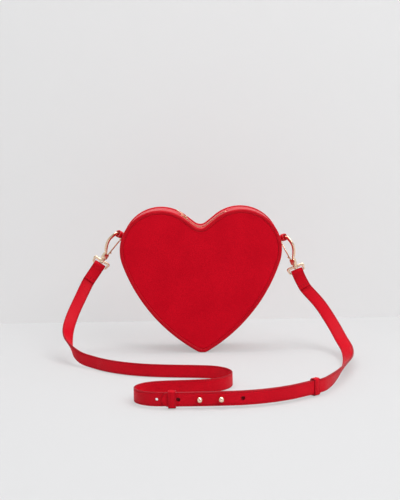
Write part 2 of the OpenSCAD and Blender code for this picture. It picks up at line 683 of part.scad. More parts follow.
// Loops that slide on both layers
module keeper(s) {
    inner_t = 2 * strap_t + layer_gap + 2 * keeper_gap;
    inner_w = strap_w + 2 * keeper_gap;
    color(strap_red) on_run(s) difference() {
        cube([keeper_w, inner_t + 2 * keeper_t, inner_w + 2 * keeper_t], center = true);
        cube([keeper_w + cut_over, inner_t, inner_w], center = true);
    }
}

// Ball studs, held by screws from behind
neck_show = 0.6;
screw_r = 0.9;
screw_head_t = 0.9;
stack_t = layer_off + strap_t / 2;
stud_r = stud_d / 2;
ball_y = stack_t + neck_show + sqrt(stud_r * stud_r - neck_r * neck_r);
screw_l = 2 * stack_t - neck_r;
module strap_studs() {
    color(gold) for (i = stud_holes) on_run(first_hole + i * hole_pitch) difference() {
        union() {
            translate([0, -ball_y, 0]) sphere(r = stud_r, $fn = round_n);
            translate([0, stack_t, 0]) rotate([90, 0, 0])
                cylinder(r = neck_r, h = stack_t + ball_y, $fn = wire_n);
        }
        translate([0, stack_t + cut_over, 0]) rotate([90, 0, 0])
            cylinder(r = screw_r + running_gap, h = screw_l + cut_over, $fn = wire_n);
    }
}
module stud_screws() {
    color("silver") for (i = stud_holes) on_run(first_hole + i * hole_pitch) {
        translate([0, stack_t + screw_head_t, 0]) rotate([90, 0, 0])
            cylinder(r = screw_head_r, h = screw_head_t, $fn = round_n);
        translate([0, stack_t, 0]) rotate([90, 0, 0]) cylinder(r = screw_r, h = screw_l, $fn = wire_n);
    }
}

face_leather();  // front_panel
face_padding();  // front_padding
face_board();  // front_board
edging();  // front_edging
at_back() face_leather();  // back_panel
at_back() face_padding();  // back_padding
at_back() face_board();  // back_board
at_back() edging();  // back_edging
top_gusset();
lower_gusset();
gusset_board();
lining();
zip_tape();  // zip_tape_front
at_back() zip_tape();  // zip_tape_back
zip_teeth(0);  // zip_teeth_front
at_back() zip_teeth(0.5);  // zip_teeth_back
zip_stops();
zip_slider();
zip_puller();
tab(left);  // left_tab
mirror([1, 0, 0]) tab(right);  // right_tab
left_at() strap_ring();  // left_strap_ring
left_at() hook_body();  // left_hook_body
left_at() gate();  // left_gate
left_at() gate_pin();  // left_gate_pin
left_at() gate_spring();  // left_gate_spring
right_at() strap_ring();  // right_strap_ring
right_at() hook_body();  // right_hook_body
right_at() gate();  // right_gate
right_at() gate_pin();  // right_gate_pin
right_at() gate_spring();  // right_gate_spring
long_strap();
short_strap();
keeper(tip_keeper_at);  // tip_keeper
keeper(run_3_l + end_bend_l + end_keeper_at);  // end_keeper
strap_studs();
stud_screws();
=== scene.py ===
"""The looks of the heart shaped leather bag: faces, edgings, side bands, zip, tabs, snap hooks and strap.

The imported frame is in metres. Shapes here are worked out in millimetres and scaled when their mesh is made.
"""
import math

import bmesh
import bpy
import numpy as np
from bpy.props import FloatProperty, FloatVectorProperty, PointerProperty
from mathutils import Matrix, Vector, geometry, noise


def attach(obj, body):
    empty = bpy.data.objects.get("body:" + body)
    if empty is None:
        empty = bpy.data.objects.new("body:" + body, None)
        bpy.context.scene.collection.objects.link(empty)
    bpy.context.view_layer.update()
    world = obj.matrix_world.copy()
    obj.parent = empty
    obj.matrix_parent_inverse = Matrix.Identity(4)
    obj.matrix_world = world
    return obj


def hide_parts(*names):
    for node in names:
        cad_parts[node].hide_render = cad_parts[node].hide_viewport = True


bl_info = {
    "name": "Heart Shaped Purse",
    "version": (1, 0, 0),
    "blender": (4, 5, 0),
    "location": "View3D > Sidebar > Purse",
    "description": "Makes the leather, thread, zip and metal of a heart shaped purse round its packed frame",
    "category": "Object",
}

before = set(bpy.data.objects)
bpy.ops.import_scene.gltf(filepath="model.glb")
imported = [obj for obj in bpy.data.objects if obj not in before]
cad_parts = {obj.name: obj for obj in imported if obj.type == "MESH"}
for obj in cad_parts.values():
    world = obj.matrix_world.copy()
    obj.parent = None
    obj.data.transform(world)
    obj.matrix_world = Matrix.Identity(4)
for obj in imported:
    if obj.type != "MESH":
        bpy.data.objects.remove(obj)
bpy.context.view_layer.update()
MM = 0.001

# The heart, in millimetres: tangent arcs and one straight side of the cleft
WIDTH, HEIGHT, MID_Y = 200, 178, 26
LOBE_C, LOBE_R = np.array([50.0, 128.0]), 50
CLEFT_C, CLEFT_R, SLOPE = np.array([0.0, 166.346]), 11, 38
SIDE_R, TIP_R, TIP_FLAT = 204.7, 13.3, 6
SEAM_ANGLE = 16
GUSSET_INSET, LEATHER_T, LINING_INSET = 1.2, 1.4, 4.15
BAND_R = LOBE_R - GUSSET_INSET
PANEL_Y, EDGING_Y, RIM_T = -2.3, 3, 6

# The zip
UPPER_STEP = (90 + SLOPE - SEAM_ANGLE) / 20
ZIP_INSET = GUSSET_INSET + LEATHER_T + 0.3
SLOT_W, TAPE_EDGE, TOOTH_PITCH = 7.6, 2.6, 2.6
SLIDER_X, SLIDER_Z, PULLER_LIFT = -19.744, 164.132, 3.55

# The strap: its bends are (radius, turn, steps), and its shares are of the bag's width and height
STRAP_W, STRAP_T, LAYER_OFF = 15, 2, 1.05
LOW_Z, HIGH_Z = 7.5, 9.4
START_HEADING, START_BEND, RUN_1, BACK_BEND, RUN_2 = -52, (130, 42, 7), 50, (33, -165, 22), 46
TURN_R, TURN_A, TURN_STEPS, TURN_END = 30, 175, 22, np.array([-43.0, -272.0])
RUN_3, END_R, END_A, END_STEPS, END_L = 64.6, 125, 42, 7, 26.8
END_RUN = math.radians(END_A) * END_R
LEFT_SHARES = [(-0.7525, 0.06, 0.357), (-0.8025, -0.03, 0.233), (-0.82, -0.135, 0.138),
               (-0.795, -0.245, 0.065), (-0.73, -0.34, 0.017)]
RIGHT_SHARES = [(0.67, -1.033, 0.0107), (0.72, -0.91, 0.0107), (0.785, -0.71, 0.013), (0.84, -0.495, 0.018),
                (0.86, -0.3, 0.0365), (0.8425, -0.145, 0.076), (0.8025, -0.035, 0.16),
                (0.7375, 0.055, 0.2725)]
LEFT_DRIFT, RIGHT_DRIFT = np.array([-0.5, -3, 0]), np.array([1.5, -3, 1])
DOWN = np.array([0.0, 0.0, -1.0])
HOLE_PITCH, FIRST_HOLE, CUT_T = 22, -5, 3.1
FOLD_L, FOLD_ROUND, WRAP_R = 22, 7.4, 2.35

# The hooks: each side is (lean of the hook, angle of its tab on the lobe, reach of the tab)
LEFT, RIGHT = (34, 20, 6.2), (21, 11.5, 6.2)
SIDES = (("left", LEFT, -1), ("right", RIGHT, 1))
CLAW_TURN, CLAW_H, CLAW_R, CLAW_WIRE, CLAW_SEAT = 37, 40.6, 6, 1.5, 0.162
PIVOT_X, PIVOT_Z, NOSE_A = 2.4, 14.6, 8


def sin(a):
    return math.sin(math.radians(a))


def cos(a):
    return math.cos(math.radians(a))


def ease(t):
    """A soft step from 0 to 1."""
    t = min(max(float(t), 0), 1)
    return t * t * (3 - 2 * t)


def unit(v):
    return v / np.linalg.norm(v)


def units(rows):
    return rows / np.linalg.norm(rows, axis=1)[:, None]


def distances(points):
    """How far along a line each of its points is."""
    return np.concatenate([[0], np.cumsum(np.linalg.norm(np.diff(points, axis=0), axis=1))])


def read(at, far, rows):
    """Rows that are given at the distances far, read at one distance."""
    return np.array([np.interp(at, far, column) for column in rows.T])


def wander(*place):
    return noise.noise(Vector(place))


def shift(x, y, z):
    return Matrix.Translation((x, y, z))


def spin(angle, axis):
    return Matrix.Rotation(math.radians(angle), 4, axis)


LIE = spin(90, "X")
FLIP_X = Matrix.Scale(-1, 4, (1, 0, 0))


# The sizes and colours that can be changed

def tone(red, green, blue):
    """A colour as seen on a screen, from 0 to 255, as the linear numbers that a shader takes."""
    shares = (red / 255, green / 255, blue / 255)
    return tuple(c / 12.92 if c <= 0.04045 else ((c + 0.055) / 1.055) ** 2.4 for c in shares)


def length(name, default, description):
    return FloatProperty(name=name, description=description, default=default * MM, min=0, precision=5,
                         unit="LENGTH")


def colour(name, default, description):
    return FloatVectorProperty(name=name, description=description, default=default, min=0, max=1,
                               subtype="COLOR")


class PurseSizes(bpy.types.PropertyGroup):
    face_crown: length("Face crown", 0.35, "How far the padding lifts the middle of each face")
    grain: length("Leather grain", 0.9, "Width of one pebble of the leather's grain")
    grain_depth: length("Grain depth", 0.2, "Height of the leather's grain")
    stitch_pitch: length("Stitch pitch", 3.2, "Distance from one stitch to the next")
    stitch_length: length("Stitch length", 2.5, "Length of a stitch")
    thread: length("Thread", 0.5, "Thickness of the sewing thread")
    crease_in: length("Crease distance", 1.7, "Distance from the strap's edge to the crease beside it")
    crease_depth: length("Crease depth", 0.28, "Depth of the strap's creases")


class PurseColours(bpy.types.PropertyGroup):
    face: colour("Face leather", tone(210, 3, 30), "Leather of the front, the back and their edgings")
    band: colour("Band leather", tone(211, 5, 31), "Leather of the side bands and tabs")
    strap: colour("Strap leather", tone(208, 4, 30), "Leather of the strap and its loops")
    edge: colour("Edge paint", tone(158, 5, 25), "Paint on the cut edges of the leather")
    thread: colour("Thread", tone(156, 8, 27), "Sewing thread")
    tape: colour("Zip tape", tone(168, 8, 26), "Woven tape of the zip")
    gold: colour("Plating", tone(250, 224, 193), "Polished plating of the hooks, rings and studs")
    zip_gold: colour("Zip plating", tone(248, 219, 176), "Plating of the zip's teeth and slider")
    lining: colour("Lining", tone(120, 104, 96), "Woven lining")
    floor: colour("Floor", tone(203, 203, 204), "Paper under the bag")
    wall: colour("Backdrop", tone(234, 234, 234), "Paper behind the bag")


def sizes():
    return bpy.context.scene.purse_sizes


def colours():
    return bpy.context.scene.purse_colours


# Materials

class Wire:
    """An output of a material's nodes. Arithmetic on it adds Math nodes."""

    def __init__(self, finish, socket):
        self.finish, self.socket = finish, socket

    def calc(self, operation, *values):
        return self.finish.node("ShaderNodeMath", {"operation": operation}, dict(enumerate(values)))

    def __add__(self, other):
        return self.calc("ADD", self, other)

    def __mul__(self, other):
        return self.calc("MULTIPLY", self, other)

    __radd__ = __add__
    __rmul__ = __mul__


class Finish:
    """The nodes of one material or of the world, with a method that adds any of them."""

    def __init__(self, owner, shade=()):
        self.owner, self.shade = owner, shade
        owner.use_nodes = True
        self.tree = owner.node_tree
        self.tree.nodes.clear()

    def node(self, kind, settings=None, sockets=None, output=0):
        made = self.tree.nodes.new(kind)
        for key, value in (settings or {}).items():
            setattr(made, key, value)
        for key, value in (sockets or {}).items():
            if isinstance(value, Wire):
                self.tree.links.new(value.socket, made.inputs[key])
            else:
                made.inputs[key].default_value = value
        return None if output is None else Wire(self, made.outputs[output])

    def place(self):
        return self.node("ShaderNodeTexCoord", output="Object")

    def cells(self, grain, **settings):
        return self.node("ShaderNodeTexVoronoi", settings, {
            "Vector": self.place(), "Scale": 1 / grain}, "Distance")

    def cloud(self, size, detail=3.0, roughness=0.5):
        return self.node("ShaderNodeTexNoise", None, {
            "Vector": self.place(), "Scale": 1 / size, "Detail": detail, "Roughness": roughness}, "Fac")

    def waves(self, direction, scale, distortion, **more):
        return self.node("ShaderNodeTexWave", {"bands_direction": direction}, {
            "Vector": self.place(), "Scale": scale, "Distortion": distortion, **more}, "Fac")

    def ramp(self, value, low, high):
        """The value stretched so that low becomes 0 and high becomes 1."""
        return self.node("ShaderNodeMapRange", {"interpolation_type": "SMOOTHSTEP"}, {
            "Value": value, "From Min": low, "From Max": high})

    def tint(self, share, lift=0.0):
        """The finish's shade made deeper or paler, with its alpha."""
        return tuple(min(1, c * share + lift) for c in self.shade) + (1,)

    def mixed(self, factor, a, b):
        """A colour between a and b, which are colours or shares of the shade."""
        a, b = (self.tint(v) if isinstance(v, (int, float)) else v for v in (a, b))
        return self.node("ShaderNodeMix", {"data_type": "RGBA"}, {0: factor, 6: a, 7: b}, 2)

    def bump(self, height, distance):
        return self.node("ShaderNodeBump", None, {"Height": height, "Distance": distance, "Strength": 1.0})

    def surface(self, **sockets):
        named = {key.replace("_", " "): value for key, value in sockets.items()}
        return self.node("ShaderNodeBsdfPrincipled", None, named)

    def done(self, surface, kind="ShaderNodeOutputMaterial"):
        self.node(kind, None, {"Surface": surface}, None)
        return self.owner


def leather(f, roughness, grain_share, depth_share, gloss):
    """Fine grained leather: pebbles with creases between them, darkened partly as the leather's own tone and
    partly as painted shade, soft folds, and uneven dye and polish.
    """
    size = sizes()
    grain = size.grain * grain_share
    pebbles = f.cells(grain, feature="SMOOTH_F1")
    pores = f.cells(grain * 0.37)
    folds = f.cloud(14 * MM, 2.0)
    dye = f.ramp(f.cloud(38 * MM, 3.0), 0.3, 0.7)
    fleck = f.ramp(f.cloud(1.1 * MM, 4.0, 0.65), 0.35, 0.7)
    # Painted shade: the creases between pebbles are darkened in the colour, partly the leather's own tone and
    # partly standing in for the grain's shading.
    crease_shade = f.ramp(pebbles, 0.3, 0.62)
    base = f.mixed(dye * 0.55 + fleck * 0.45, 0.9, f.tint(1.09, 0.0015))
    base = f.mixed(crease_shade * 0.45, base, 0.74)
    grained = f.bump(pebbles * -0.8 + pores * -0.2 + folds * 0.5, size.grain_depth * depth_share)
    return f.surface(Base_Color=base, Roughness=roughness - 0.06 + dye * 0.06 + fleck * 0.07, Normal=grained,
                     Specular_IOR_Level=gloss)


def edge_paint(f):
    """Painted cut edge: smooth, a little shinier than the leather, with slight brush marks."""
    strokes = f.cloud(2.2 * MM, 4.0, 0.6)
    pooled = f.ramp(strokes, 0.3, 0.72)
    return f.surface(Base_Color=f.mixed(pooled, 0.82, 1.15), Roughness=0.4 + pooled * 0.12,
                     Normal=f.bump(strokes, 0.05 * MM), Specular_IOR_Level=0.2)


def twisted_thread(f):
    """Sewing thread: fine slanting plies and loose fibres."""
    plies = f.waves("DIAGONAL", 0.55 / MM, 0.6)
    fibres = f.cloud(0.25 * MM, 3.0)
    return f.surface(Base_Color=f.mixed(plies * 0.7 + fibres * 0.3, 0.7, 1.2), Roughness=0.62 + fibres * 0.2,
                     Normal=f.bump(plies, 0.06 * MM), Specular_IOR_Level=0.2)


def plating(f, roughness):
    """Polished gold plating, with faint buffing marks and a few duller places from handling."""
    marks = f.cloud(0.8 * MM, 5.0, 0.7)
    handling = f.ramp(f.cloud(5 * MM, 2.0), 0.4, 0.75)
    return f.surface(Base_Color=f.mixed(handling, 1, 0.94), Metallic=1.0,
                     Roughness=roughness + handling * 0.08 + marks * 0.05, Normal=f.bump(marks, 0.004 * MM))


def weave(f, pitch):
    """Plain woven cloth: two sets of crossing yarns."""
    across, along = (f.waves(direction, 0.314 / pitch, 0.4, Detail=1.0) for direction in "XY")
    lint = f.cloud(0.7 * MM, 4.0, 0.7)
    yarns = across * 0.5 + along * 0.5
    return f.surface(Base_Color=f.mixed(yarns * 0.75 + lint * 0.25, 0.66, 1.25), Roughness=0.8 + lint * 0.12,
                     Normal=f.bump(yarns, 0.09 * MM))


def fibre_board(f):
    """Pressed fibre board: short tan fibres and specks."""
    fibres = f.cloud(0.9 * MM, 5.0, 0.7)
    specks = f.ramp(f.cells(2.4 * MM), 0.16, 0.05)
    return f.surface(Base_Color=f.mixed(specks * 0.5, f.mixed(fibres, 0.75, 1.2), 0.4),
                     Roughness=0.82 + fibres * 0.12, Normal=f.bump(fibres, 0.08 * MM))


def open_foam(f):
    """Cut foam: small open cells."""
    cells = f.cells(0.9 * MM)
    return f.surface(Base_Color=f.mixed(f.ramp(cells, 0.2, 0.7), 1, 0.72),
                     Roughness=0.9 + f.cloud(1 * MM) * 0.08, Normal=f.bump(cells, 0.25 * MM))


def spring_metal(f):
    """Rolled spring steel, with fine grinding lines."""
    lines = f.waves("Z", 2.4 / MM, 3.0, Detail=3.0)
    return f.surface(Base_Color=f.mixed(lines, 0.85, 1), Metallic=1.0,
                     Roughness=0.24 + lines * 0.14, Normal=f.bump(lines, 0.004 * MM))


def maker_of(name):
    """The function that makes a finish, its shade and its other values."""
    c = colours()
    return {
        "face_leather": (leather, c.face, 0.52, 1.0, 1.0, 0.06),
        "band_leather": (leather, c.band, 0.42, 0.9, 0.8, 0.36),
        # Painted shade: the edging is the face leather at 0.86, darker to stand in for shade on its rounded
        # sides that turn away from the light.
        "edging_leather": (leather, [v * 0.86 for v in c.face], 0.4, 0.9, 0.6, 0.12),
        "strap_hide": (leather, c.strap, 0.46, 0.8, 0.8, 0.09),
        "edge_paint": (edge_paint, c.edge),
        "thread": (twisted_thread, c.thread),
        "tape_weave": (weave, c.tape, 0.55 * MM),
        "lining_cloth": (weave, c.lining, 0.8 * MM),
        "gold_plating": (plating, c.gold, 0.16),
        "zip_plating": (plating, c.zip_gold, 0.2),
        "stiff_board": (fibre_board, tone(186, 156, 120)),
        "padding_foam": (open_foam, tone(236, 234, 226)),
        "sprung_steel": (spring_metal, tone(196, 196, 198)),
    }[name]


MADE = {}


def finish(name):
    """The finish of that name, made when a piece first asks for it."""
    if name not in MADE:
        maker, shade, *more = maker_of(name)
        f = Finish(bpy.data.materials.new(name), shade)
        MADE[name] = f.done(maker(f, *more))
    return MADE[name]


def dress(node, name):
    """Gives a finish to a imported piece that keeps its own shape."""
    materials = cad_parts[node].data.materials
    materials.clear()
    materials.append(finish(name))


# Mesh making

def bare(name, shape, materials, second=None):
    """An object from (verts, faces) in millimetres, with its faces turned outwards."""
    mesh = bpy.data.meshes.new(name)
    verts = (np.asarray(shape[0], float) * MM).tolist()
    mesh.from_pydata(verts, [], [tuple(int(i) for i in face) for face in shape[1]])
    for material in materials:
        mesh.materials.append(material)
    if second is not None:
        mesh.polygons.foreach_set("material_index", np.asarray(second, int))
    work = bmesh.new()
    work.from_mesh(mesh)
    bmesh.ops.remove_doubles(work, verts=work.verts, dist=0.002 * MM)
    bmesh.ops.recalc_face_normals(work, faces=work.faces)
    work.to_mesh(mesh)
    work.free()
    made = bpy.data.objects.new(name, mesh)
    bpy.context.scene.collection.objects.link(made)
    return made


def piece(name, shape, finishes, nodes="", body="bag", second=None, sharp=38, steps=(), outward=False,
          mirror=False):
    """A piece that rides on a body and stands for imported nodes.

    finishes and nodes are names with spaces between. second lists the faces that take the second finish, and
    steps are modifiers that are applied. outward turns an open sheet away from the middle of the bag. mirror
    makes the right hand piece from a left hand shape.
    """
    made = bare(name, shape, [finish(f) for f in finishes.split()], second)
    first = made.data.polygons[0]
    if outward and (first.center / MM - Vector((0, MID_Y, HEIGHT / 2))) @ first.normal < 0:
        made.data.flip_normals()
    if steps:
        settle(made, *steps)
    if mirror:
        made.data.transform(FLIP_X)
        made.data.flip_normals()
    smooth(made, sharp)
    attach(made, body)
    if nodes:
        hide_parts(*nodes.split())
    return made


def smooth(made, sharp):
    mesh = made.data
    mesh.polygons.foreach_set("use_smooth", [True] * len(mesh.polygons))
    mesh.set_sharp_from_angle(angle=math.radians(sharp))
    mesh.update()


def settle(made, *steps):
    """Adds modifiers in turn and applies them all to the mesh."""
    for kind, values in steps:
        modifier = made.modifiers.new(kind.title(), kind)
        for key, value in values.items():
            setattr(modifier, key, value)
    shaped = bpy.data.meshes.new_from_object(made.evaluated_get(bpy.context.evaluated_depsgraph_get()))
    old = made.data
    made.modifiers.clear()
    made.data = shaped
    shaped.name = made.name
    bpy.data.meshes.remove(old)


def bevel(width, segments=3, angle=30):
    return ("BEVEL", {"width": width * MM, "segments": segments, "limit_method": "ANGLE",
                      "angle_limit": math.radians(angle), "use_clamp_overlap": True,
                      "miter_outer": "MITER_ARC"})


def thickened(thickness):
    return ("SOLIDIFY", {"thickness": thickness * MM, "offset": -1.0})


def cut(made, shape, *steps, inner=0, sharp=38):
    """Cuts a shape out of a piece. The cut's faces take the finish numbered inner."""
    cutter = bare("cutter", shape, [None] * (inner + 1), [inner] * len(shape[1]))
    settle(made, ("BOOLEAN", {"object": cutter, "operation": "DIFFERENCE", "solver": "EXACT"}), *steps)
    mesh = cutter.data
    bpy.data.objects.remove(cutter)
    bpy.data.meshes.remove(mesh)
    smooth(made, sharp)


def joined(*parts):
    """Several (verts, faces) as one."""
    starts = np.cumsum([0] + [len(verts) for verts, _ in parts])
    faces = [tuple(i + start for i in face) for (_, faces), start in zip(parts, starts) for face in faces]
    return np.vstack([verts for verts, _ in parts]), faces


def moved(matrix, *parts):
    verts, faces = joined(*parts)
    turn = np.array(matrix)
    return verts @ turn[:3, :3].T + turn[:3, 3], faces


def loft(rings, loop=False, caps=True):
    """Faces between rings of points. loop joins the last ring to the first."""
    n, m = len(rings[0]), len(rings)
    faces = [(j * n + i, j * n + (i + 1) % n, (j + 1) % m * n + (i + 1) % n, (j + 1) % m * n + i)
             for j in range(m if loop else m - 1) for i in range(n)]
    if caps and not loop:
        faces += [tuple(range(n)), tuple(range((m - 1) * n, m * n))]
    return np.vstack(rings), faces


def turns(n):
    return np.radians(np.arange(n) * 360 / n)


def doubled(half):
    """Points and their mirror image in the second number."""
    return half + [(x, -y) for x, y in half[::-1]]


def lathe(profile, n=40, hollow=False):
    """A shape turned about Z from (radius, height) points, from axis to axis or, if hollow, all round."""
    circle = np.column_stack([np.cos(turns(n)), np.sin(turns(n))])
    return loft([np.column_stack([r * circle, np.full(n, h)]) for r, h in profile], hollow)


def block(low, high):
    verts = [(x, y, z) for x, y, z in np.ndindex(2, 2, 2)]
    low, high = np.array(low), np.array(high)
    faces = [(0, 1, 3, 2), (4, 6, 7, 5), (0, 4, 5, 1), (2, 3, 7, 6), (0, 2, 6, 4), (1, 5, 7, 3)]
    return low + (high - low) * verts, faces


def prism(outline, low, high):
    """An outline in X and Y, drawn up from low to high."""
    return loft([np.column_stack([outline, np.full(len(outline), h)]) for h in (low, high)])


def rounded(half_w, half_h, corner, step):
    """A rectangle with round corners, as (x, y, direction out of it)."""
    x, y = half_w - corner, half_h - corner
    return [(cx * x + corner * cos(a), cy * y + corner * sin(a), a)
            for cx, cy, start in ((1, 1, 0), (-1, 1, 90), (-1, -1, 180), (1, -1, 270))
            for a in range(start, start + 91, step)]


def oval(middle, turn, out, reach, wide):
    """A ring of points round the middle of a wire: reach goes along out, and wide along Y."""
    return middle + np.outer(reach * np.cos(turn), out) + np.outer(wide * np.sin(turn), (0, 1, 0))


def spline(points, n=6):
    """A smooth line from the second point up to the last but one."""
    out = []
    for i in range(1, len(points) - 2):
        a, b, c, d = (np.asarray(p, float) for p in points[i - 1:i + 3])
        for t in (k / n for k in range(n)):
            squared = (2 * a - 5 * b + 4 * c - d) * t * t
            out.append((2 * b + (c - a) * t + squared + (3 * b - a - 3 * c + d) * t ** 3) / 2)
    return out


def stitches(seams, slant, thick=None):
    """Stitches along seams. A seam is (points, directions out), in millimetres."""
    size = sizes()
    pitch, half = size.stitch_pitch / MM, size.stitch_length / MM / 2
    thick = thick or size.thread / MM
    sections = ((-1, 0.5, -0.45), (-0.72, 0.95, 0.06), (0, 1, 0.2), (0.72, 0.95, 0.06), (1, 0.5, -0.45))
    turn, parts = turns(6), []
    for points, normals in seams:
        points, normals = np.asarray(points, float), np.asarray(normals, float)
        far = distances(points)
        count = max(1, int(far[-1] / pitch))
        for s in (np.arange(count) + 0.5) * far[-1] / count:
            back, middle, front = (read(s + d, far, points) for d in (-half, 0, half))
            up, t = unit(read(s, far, normals)), unit(front - back)
            t = unit(t + slant * unit(np.cross(up, t)))
            ring = (np.outer(np.cos(turn), np.cross(up, t)) + np.outer(0.7 * np.sin(turn), up)) * thick / 2
            parts.append(loft([middle + at * half * t + ring * wide + rise * thick * up
                               for at, wide, rise in sections]))
    return joined(*parts)


# The heart's outline and the side band

def mirrored(points):
    return points * (-1, 1)


def both_sides(shape):
    """A shape of the front, and the same shape on the back of the bag."""
    return ("front", shape), ("back", (shape[0] * (1, -1, 1) + (0, 2 * MID_Y, 0), shape[1]))


def arc(centre, radius, start, end, n):
    turn = np.radians(np.linspace(start, end, n + 1))
    return centre + radius * np.stack([np.cos(turn), np.sin(turn)], 1)


def side_arc():
    """Centre and end angles of the long arc between the lobe and the tip, and the tip's centre."""
    tip = np.array([0, TIP_R * math.cos(math.asin(TIP_FLAT / 2 / TIP_R))])
    a, b, gap = SIDE_R - LOBE_R, SIDE_R - TIP_R, np.linalg.norm(tip - LOBE_C)
    along = (a * a - b * b + gap * gap) / (2 * gap)
    towards = (tip - LOBE_C) / gap
    centre = LOBE_C + along * towards + math.sqrt(a * a - along * along) * np.array([towards[1], -towards[0]])
    return centre, *(math.degrees(math.atan2(*(p - centre)[::-1])) for p in (LOBE_C, tip)), tip


SIDE_C, LOBE_END, SIDE_END, TIP_C = side_arc()


def upper_half(off):
    """The right half of the outline, inset by off, from the cleft to the side seam."""
    cleft = arc(CLEFT_C, CLEFT_R + off, -90, SLOPE - 90, 12)
    lobe = arc(LOBE_C, LOBE_R - off, 90 + SLOPE, SEAM_ANGLE, 60)
    slope = cleft[-1] + (lobe[0] - cleft[-1]) * np.linspace(0, 1, 10)[1:-1, None]
    return np.vstack([cleft, slope, lobe])


def lower_half(off):
    """The right half from the side seam to the tip's flat."""
    flat = math.degrees(math.asin(TIP_FLAT / 2 / TIP_R)) - 90
    return np.vstack([arc(LOBE_C, LOBE_R - off, SEAM_ANGLE, LOBE_END, 26),
                      arc(SIDE_C, SIDE_R - off, LOBE_END, SIDE_END, 46)[1:],
                      arc(TIP_C, TIP_R - off, SIDE_END, flat, 14)[1:]])


def ring(off, y):
    """The whole outline, inset by off, at one depth."""
    half = np.vstack([upper_half(off), lower_half(off)[1:]])
    flat = np.vstack([half, mirrored(half[::-1])[:-1]])
    return np.column_stack([flat[:, 0], np.full(len(flat), float(y)), flat[:, 1]])


def filled(border, height, pitch=4.0):
    """Even triangles inside a ring of points. Their depth is height(gap to the border, x, z)."""
    flat = border[:, (0, 2)]
    low, high = flat.min(0), flat.max(0)
    rows = enumerate(np.arange(low[1], high[1], pitch * 0.866))
    even = np.array([(x + row % 2 * pitch / 2, z) for row, z in rows
                     for x in np.arange(low[0], high[0], pitch)])

    def gaps(places):
        return np.sqrt(((places[:, None] - flat[None]) ** 2).sum(2)).min(1)
    within = np.zeros(len(even), int)
    for (x0, z0), (dx, dz) in zip(flat, np.roll(flat, -1, 0) - flat):
        crosses = (z0 > even[:, 1]) != (z0 + dz > even[:, 1])
        within += crosses & (even[:, 0] < x0 + dx * (even[:, 1] - z0) / (dz if dz else 1))
    inside = even[(within % 2 == 1) & (gaps(even) > pitch * 0.45)]
    points = [Vector(p) for p in np.vstack([flat, inside])]
    found = geometry.delaunay_2d_cdt(points, [], [list(range(len(flat)))], 1, 1e-6)
    places = np.array([tuple(v) for v in found[0]])
    depth = [height(gap, x, z) for gap, (x, z) in zip(gaps(places), places)]
    return np.column_stack([places[:, 0], depth, places[:, 1]]), found[2]


class Band:
    """A strip round the heart's side. A place on it is a distance s along it and a depth y."""

    def __init__(self, flat):
        self.flat, self.s = flat, distances(flat)
        along = units(np.gradient(flat, axis=0))
        self.out = np.stack([-along[:, 1], along[:, 0]], 1)

    def at(self, s, y, lift=0.0):
        """A point lifted off the strip, and the direction out of it."""
        x, z = read(s, self.s, self.flat)
        out_x, out_z = unit(read(s, self.s, self.out))
        return np.array([x + out_x * lift, y, z + out_z * lift]), np.array([out_x, 0, out_z])

    def seam(self, places, lift):
        """A seam through (s, y) places, for stitches."""
        return tuple(np.array(part) for part in zip(*[self.at(s, y, lift) for s, y in places]))

    def stand(self, s, shape):
        """A shape stood on the middle of the strip: its X runs along and its Z points out."""
        place, out = self.at(s, MID_Y)
        turn = np.stack([np.cross((0, 1, 0), out), (0, 1, 0), out], 1)
        return shape[0] @ turn.T + place, shape[1]

    def rows(self, *more, every=1):
        """Its own distances and more of them, in order."""
        return sorted(set(np.round(np.concatenate([self.s[::every], *more]), 3)))


def upper_band(off):
    """From the left side seam, over the cleft, to the right side seam."""
    half = upper_half(off)
    return Band(np.vstack([mirrored(half[::-1])[:-1], half]))


def lower_band(off):
    """From the right side seam, round the tip, to the left side seam."""
    half = lower_half(off)
    return Band(np.vstack([half, mirrored(half[::-1])]))


def on_lobe(r, angle):
    """A place in X and Z round the middle of the right lobe."""
    return LOBE_C + r * np.array([cos(angle), sin(angle)])


def slot_ends(band):
    """Where the zip's slot starts and ends along the upper band."""
    angles = (90 + SLOPE - UPPER_STEP, 90 + SLOPE - 3 * UPPER_STEP)
    places = [on_lobe(BAND_R, a) * (way, 1) for a, way in zip(angles, (-1, 1))]
    return [float(band.s[np.abs(band.flat - p).sum(1).argmin()]) for p in places]


def slot_dip(gap):
    """How far the band lies below its own line, at a gap from the slot: pressed down by the seam."""
    press, press_over, edge, edge_over = 0.55, 5, 0.3, 0.5
    return -press * (1 - ease(gap / press_over)) - edge * (1 - ease(gap / edge_over))


def sheet(rows, columns, place, slot=None):
    """A sheet over rows and columns, open over the zip's slot if its two ends are given."""
    def is_open(i, j):
        s, y = (rows[i] + rows[i + 1]) / 2, (columns[j] + columns[j + 1]) / 2
        return slot and slot[0] < s < slot[1] and abs(y - MID_Y) < SLOT_W / 2
    n = len(columns)
    faces = [(i * n + j, i * n + j + 1, (i + 1) * n + j + 1, (i + 1) * n + j)
             for i in range(len(rows) - 1) for j in range(n - 1) if not is_open(i, j)]
    return np.array([place(s, y) for s in rows for y in columns]), faces


# The strap's route

def bend(start, radius, turn, n):
    """Places (x, y, heading) round a bend."""
    x, y, heading = start
    way = math.copysign(1, turn)
    cx, cy = x - way * radius * sin(heading), y + way * radius * cos(heading)
    turned = [heading + turn * i / n for i in range(1, n + 1)]
    return [(cx + way * radius * sin(h), cy - way * radius * cos(h), h) for h in turned]


def ahead(start, far):
    x, y, heading = start
    return (x + far * cos(heading), y + far * sin(heading), heading)


def tab_place(side):
    """The middle of a tab's loop on the right hand side, in X and Z."""
    _, angle, reach = side
    return on_lobe(BAND_R + reach, angle)


def hook_place(side, way):
    """The ring bar's middle, the direction up to the claw and the one across. way is -1 on the left."""
    lean = side[0]
    x, z = tab_place(side) + (CLAW_SEAT + CLAW_H + CLAW_R) * np.array([sin(lean), -cos(lean)])
    return (np.array([way * x, MID_Y, z]), np.array([-way * sin(lean), 0, cos(lean)]),
            np.array([-way * cos(lean), 0, -sin(lean)]))


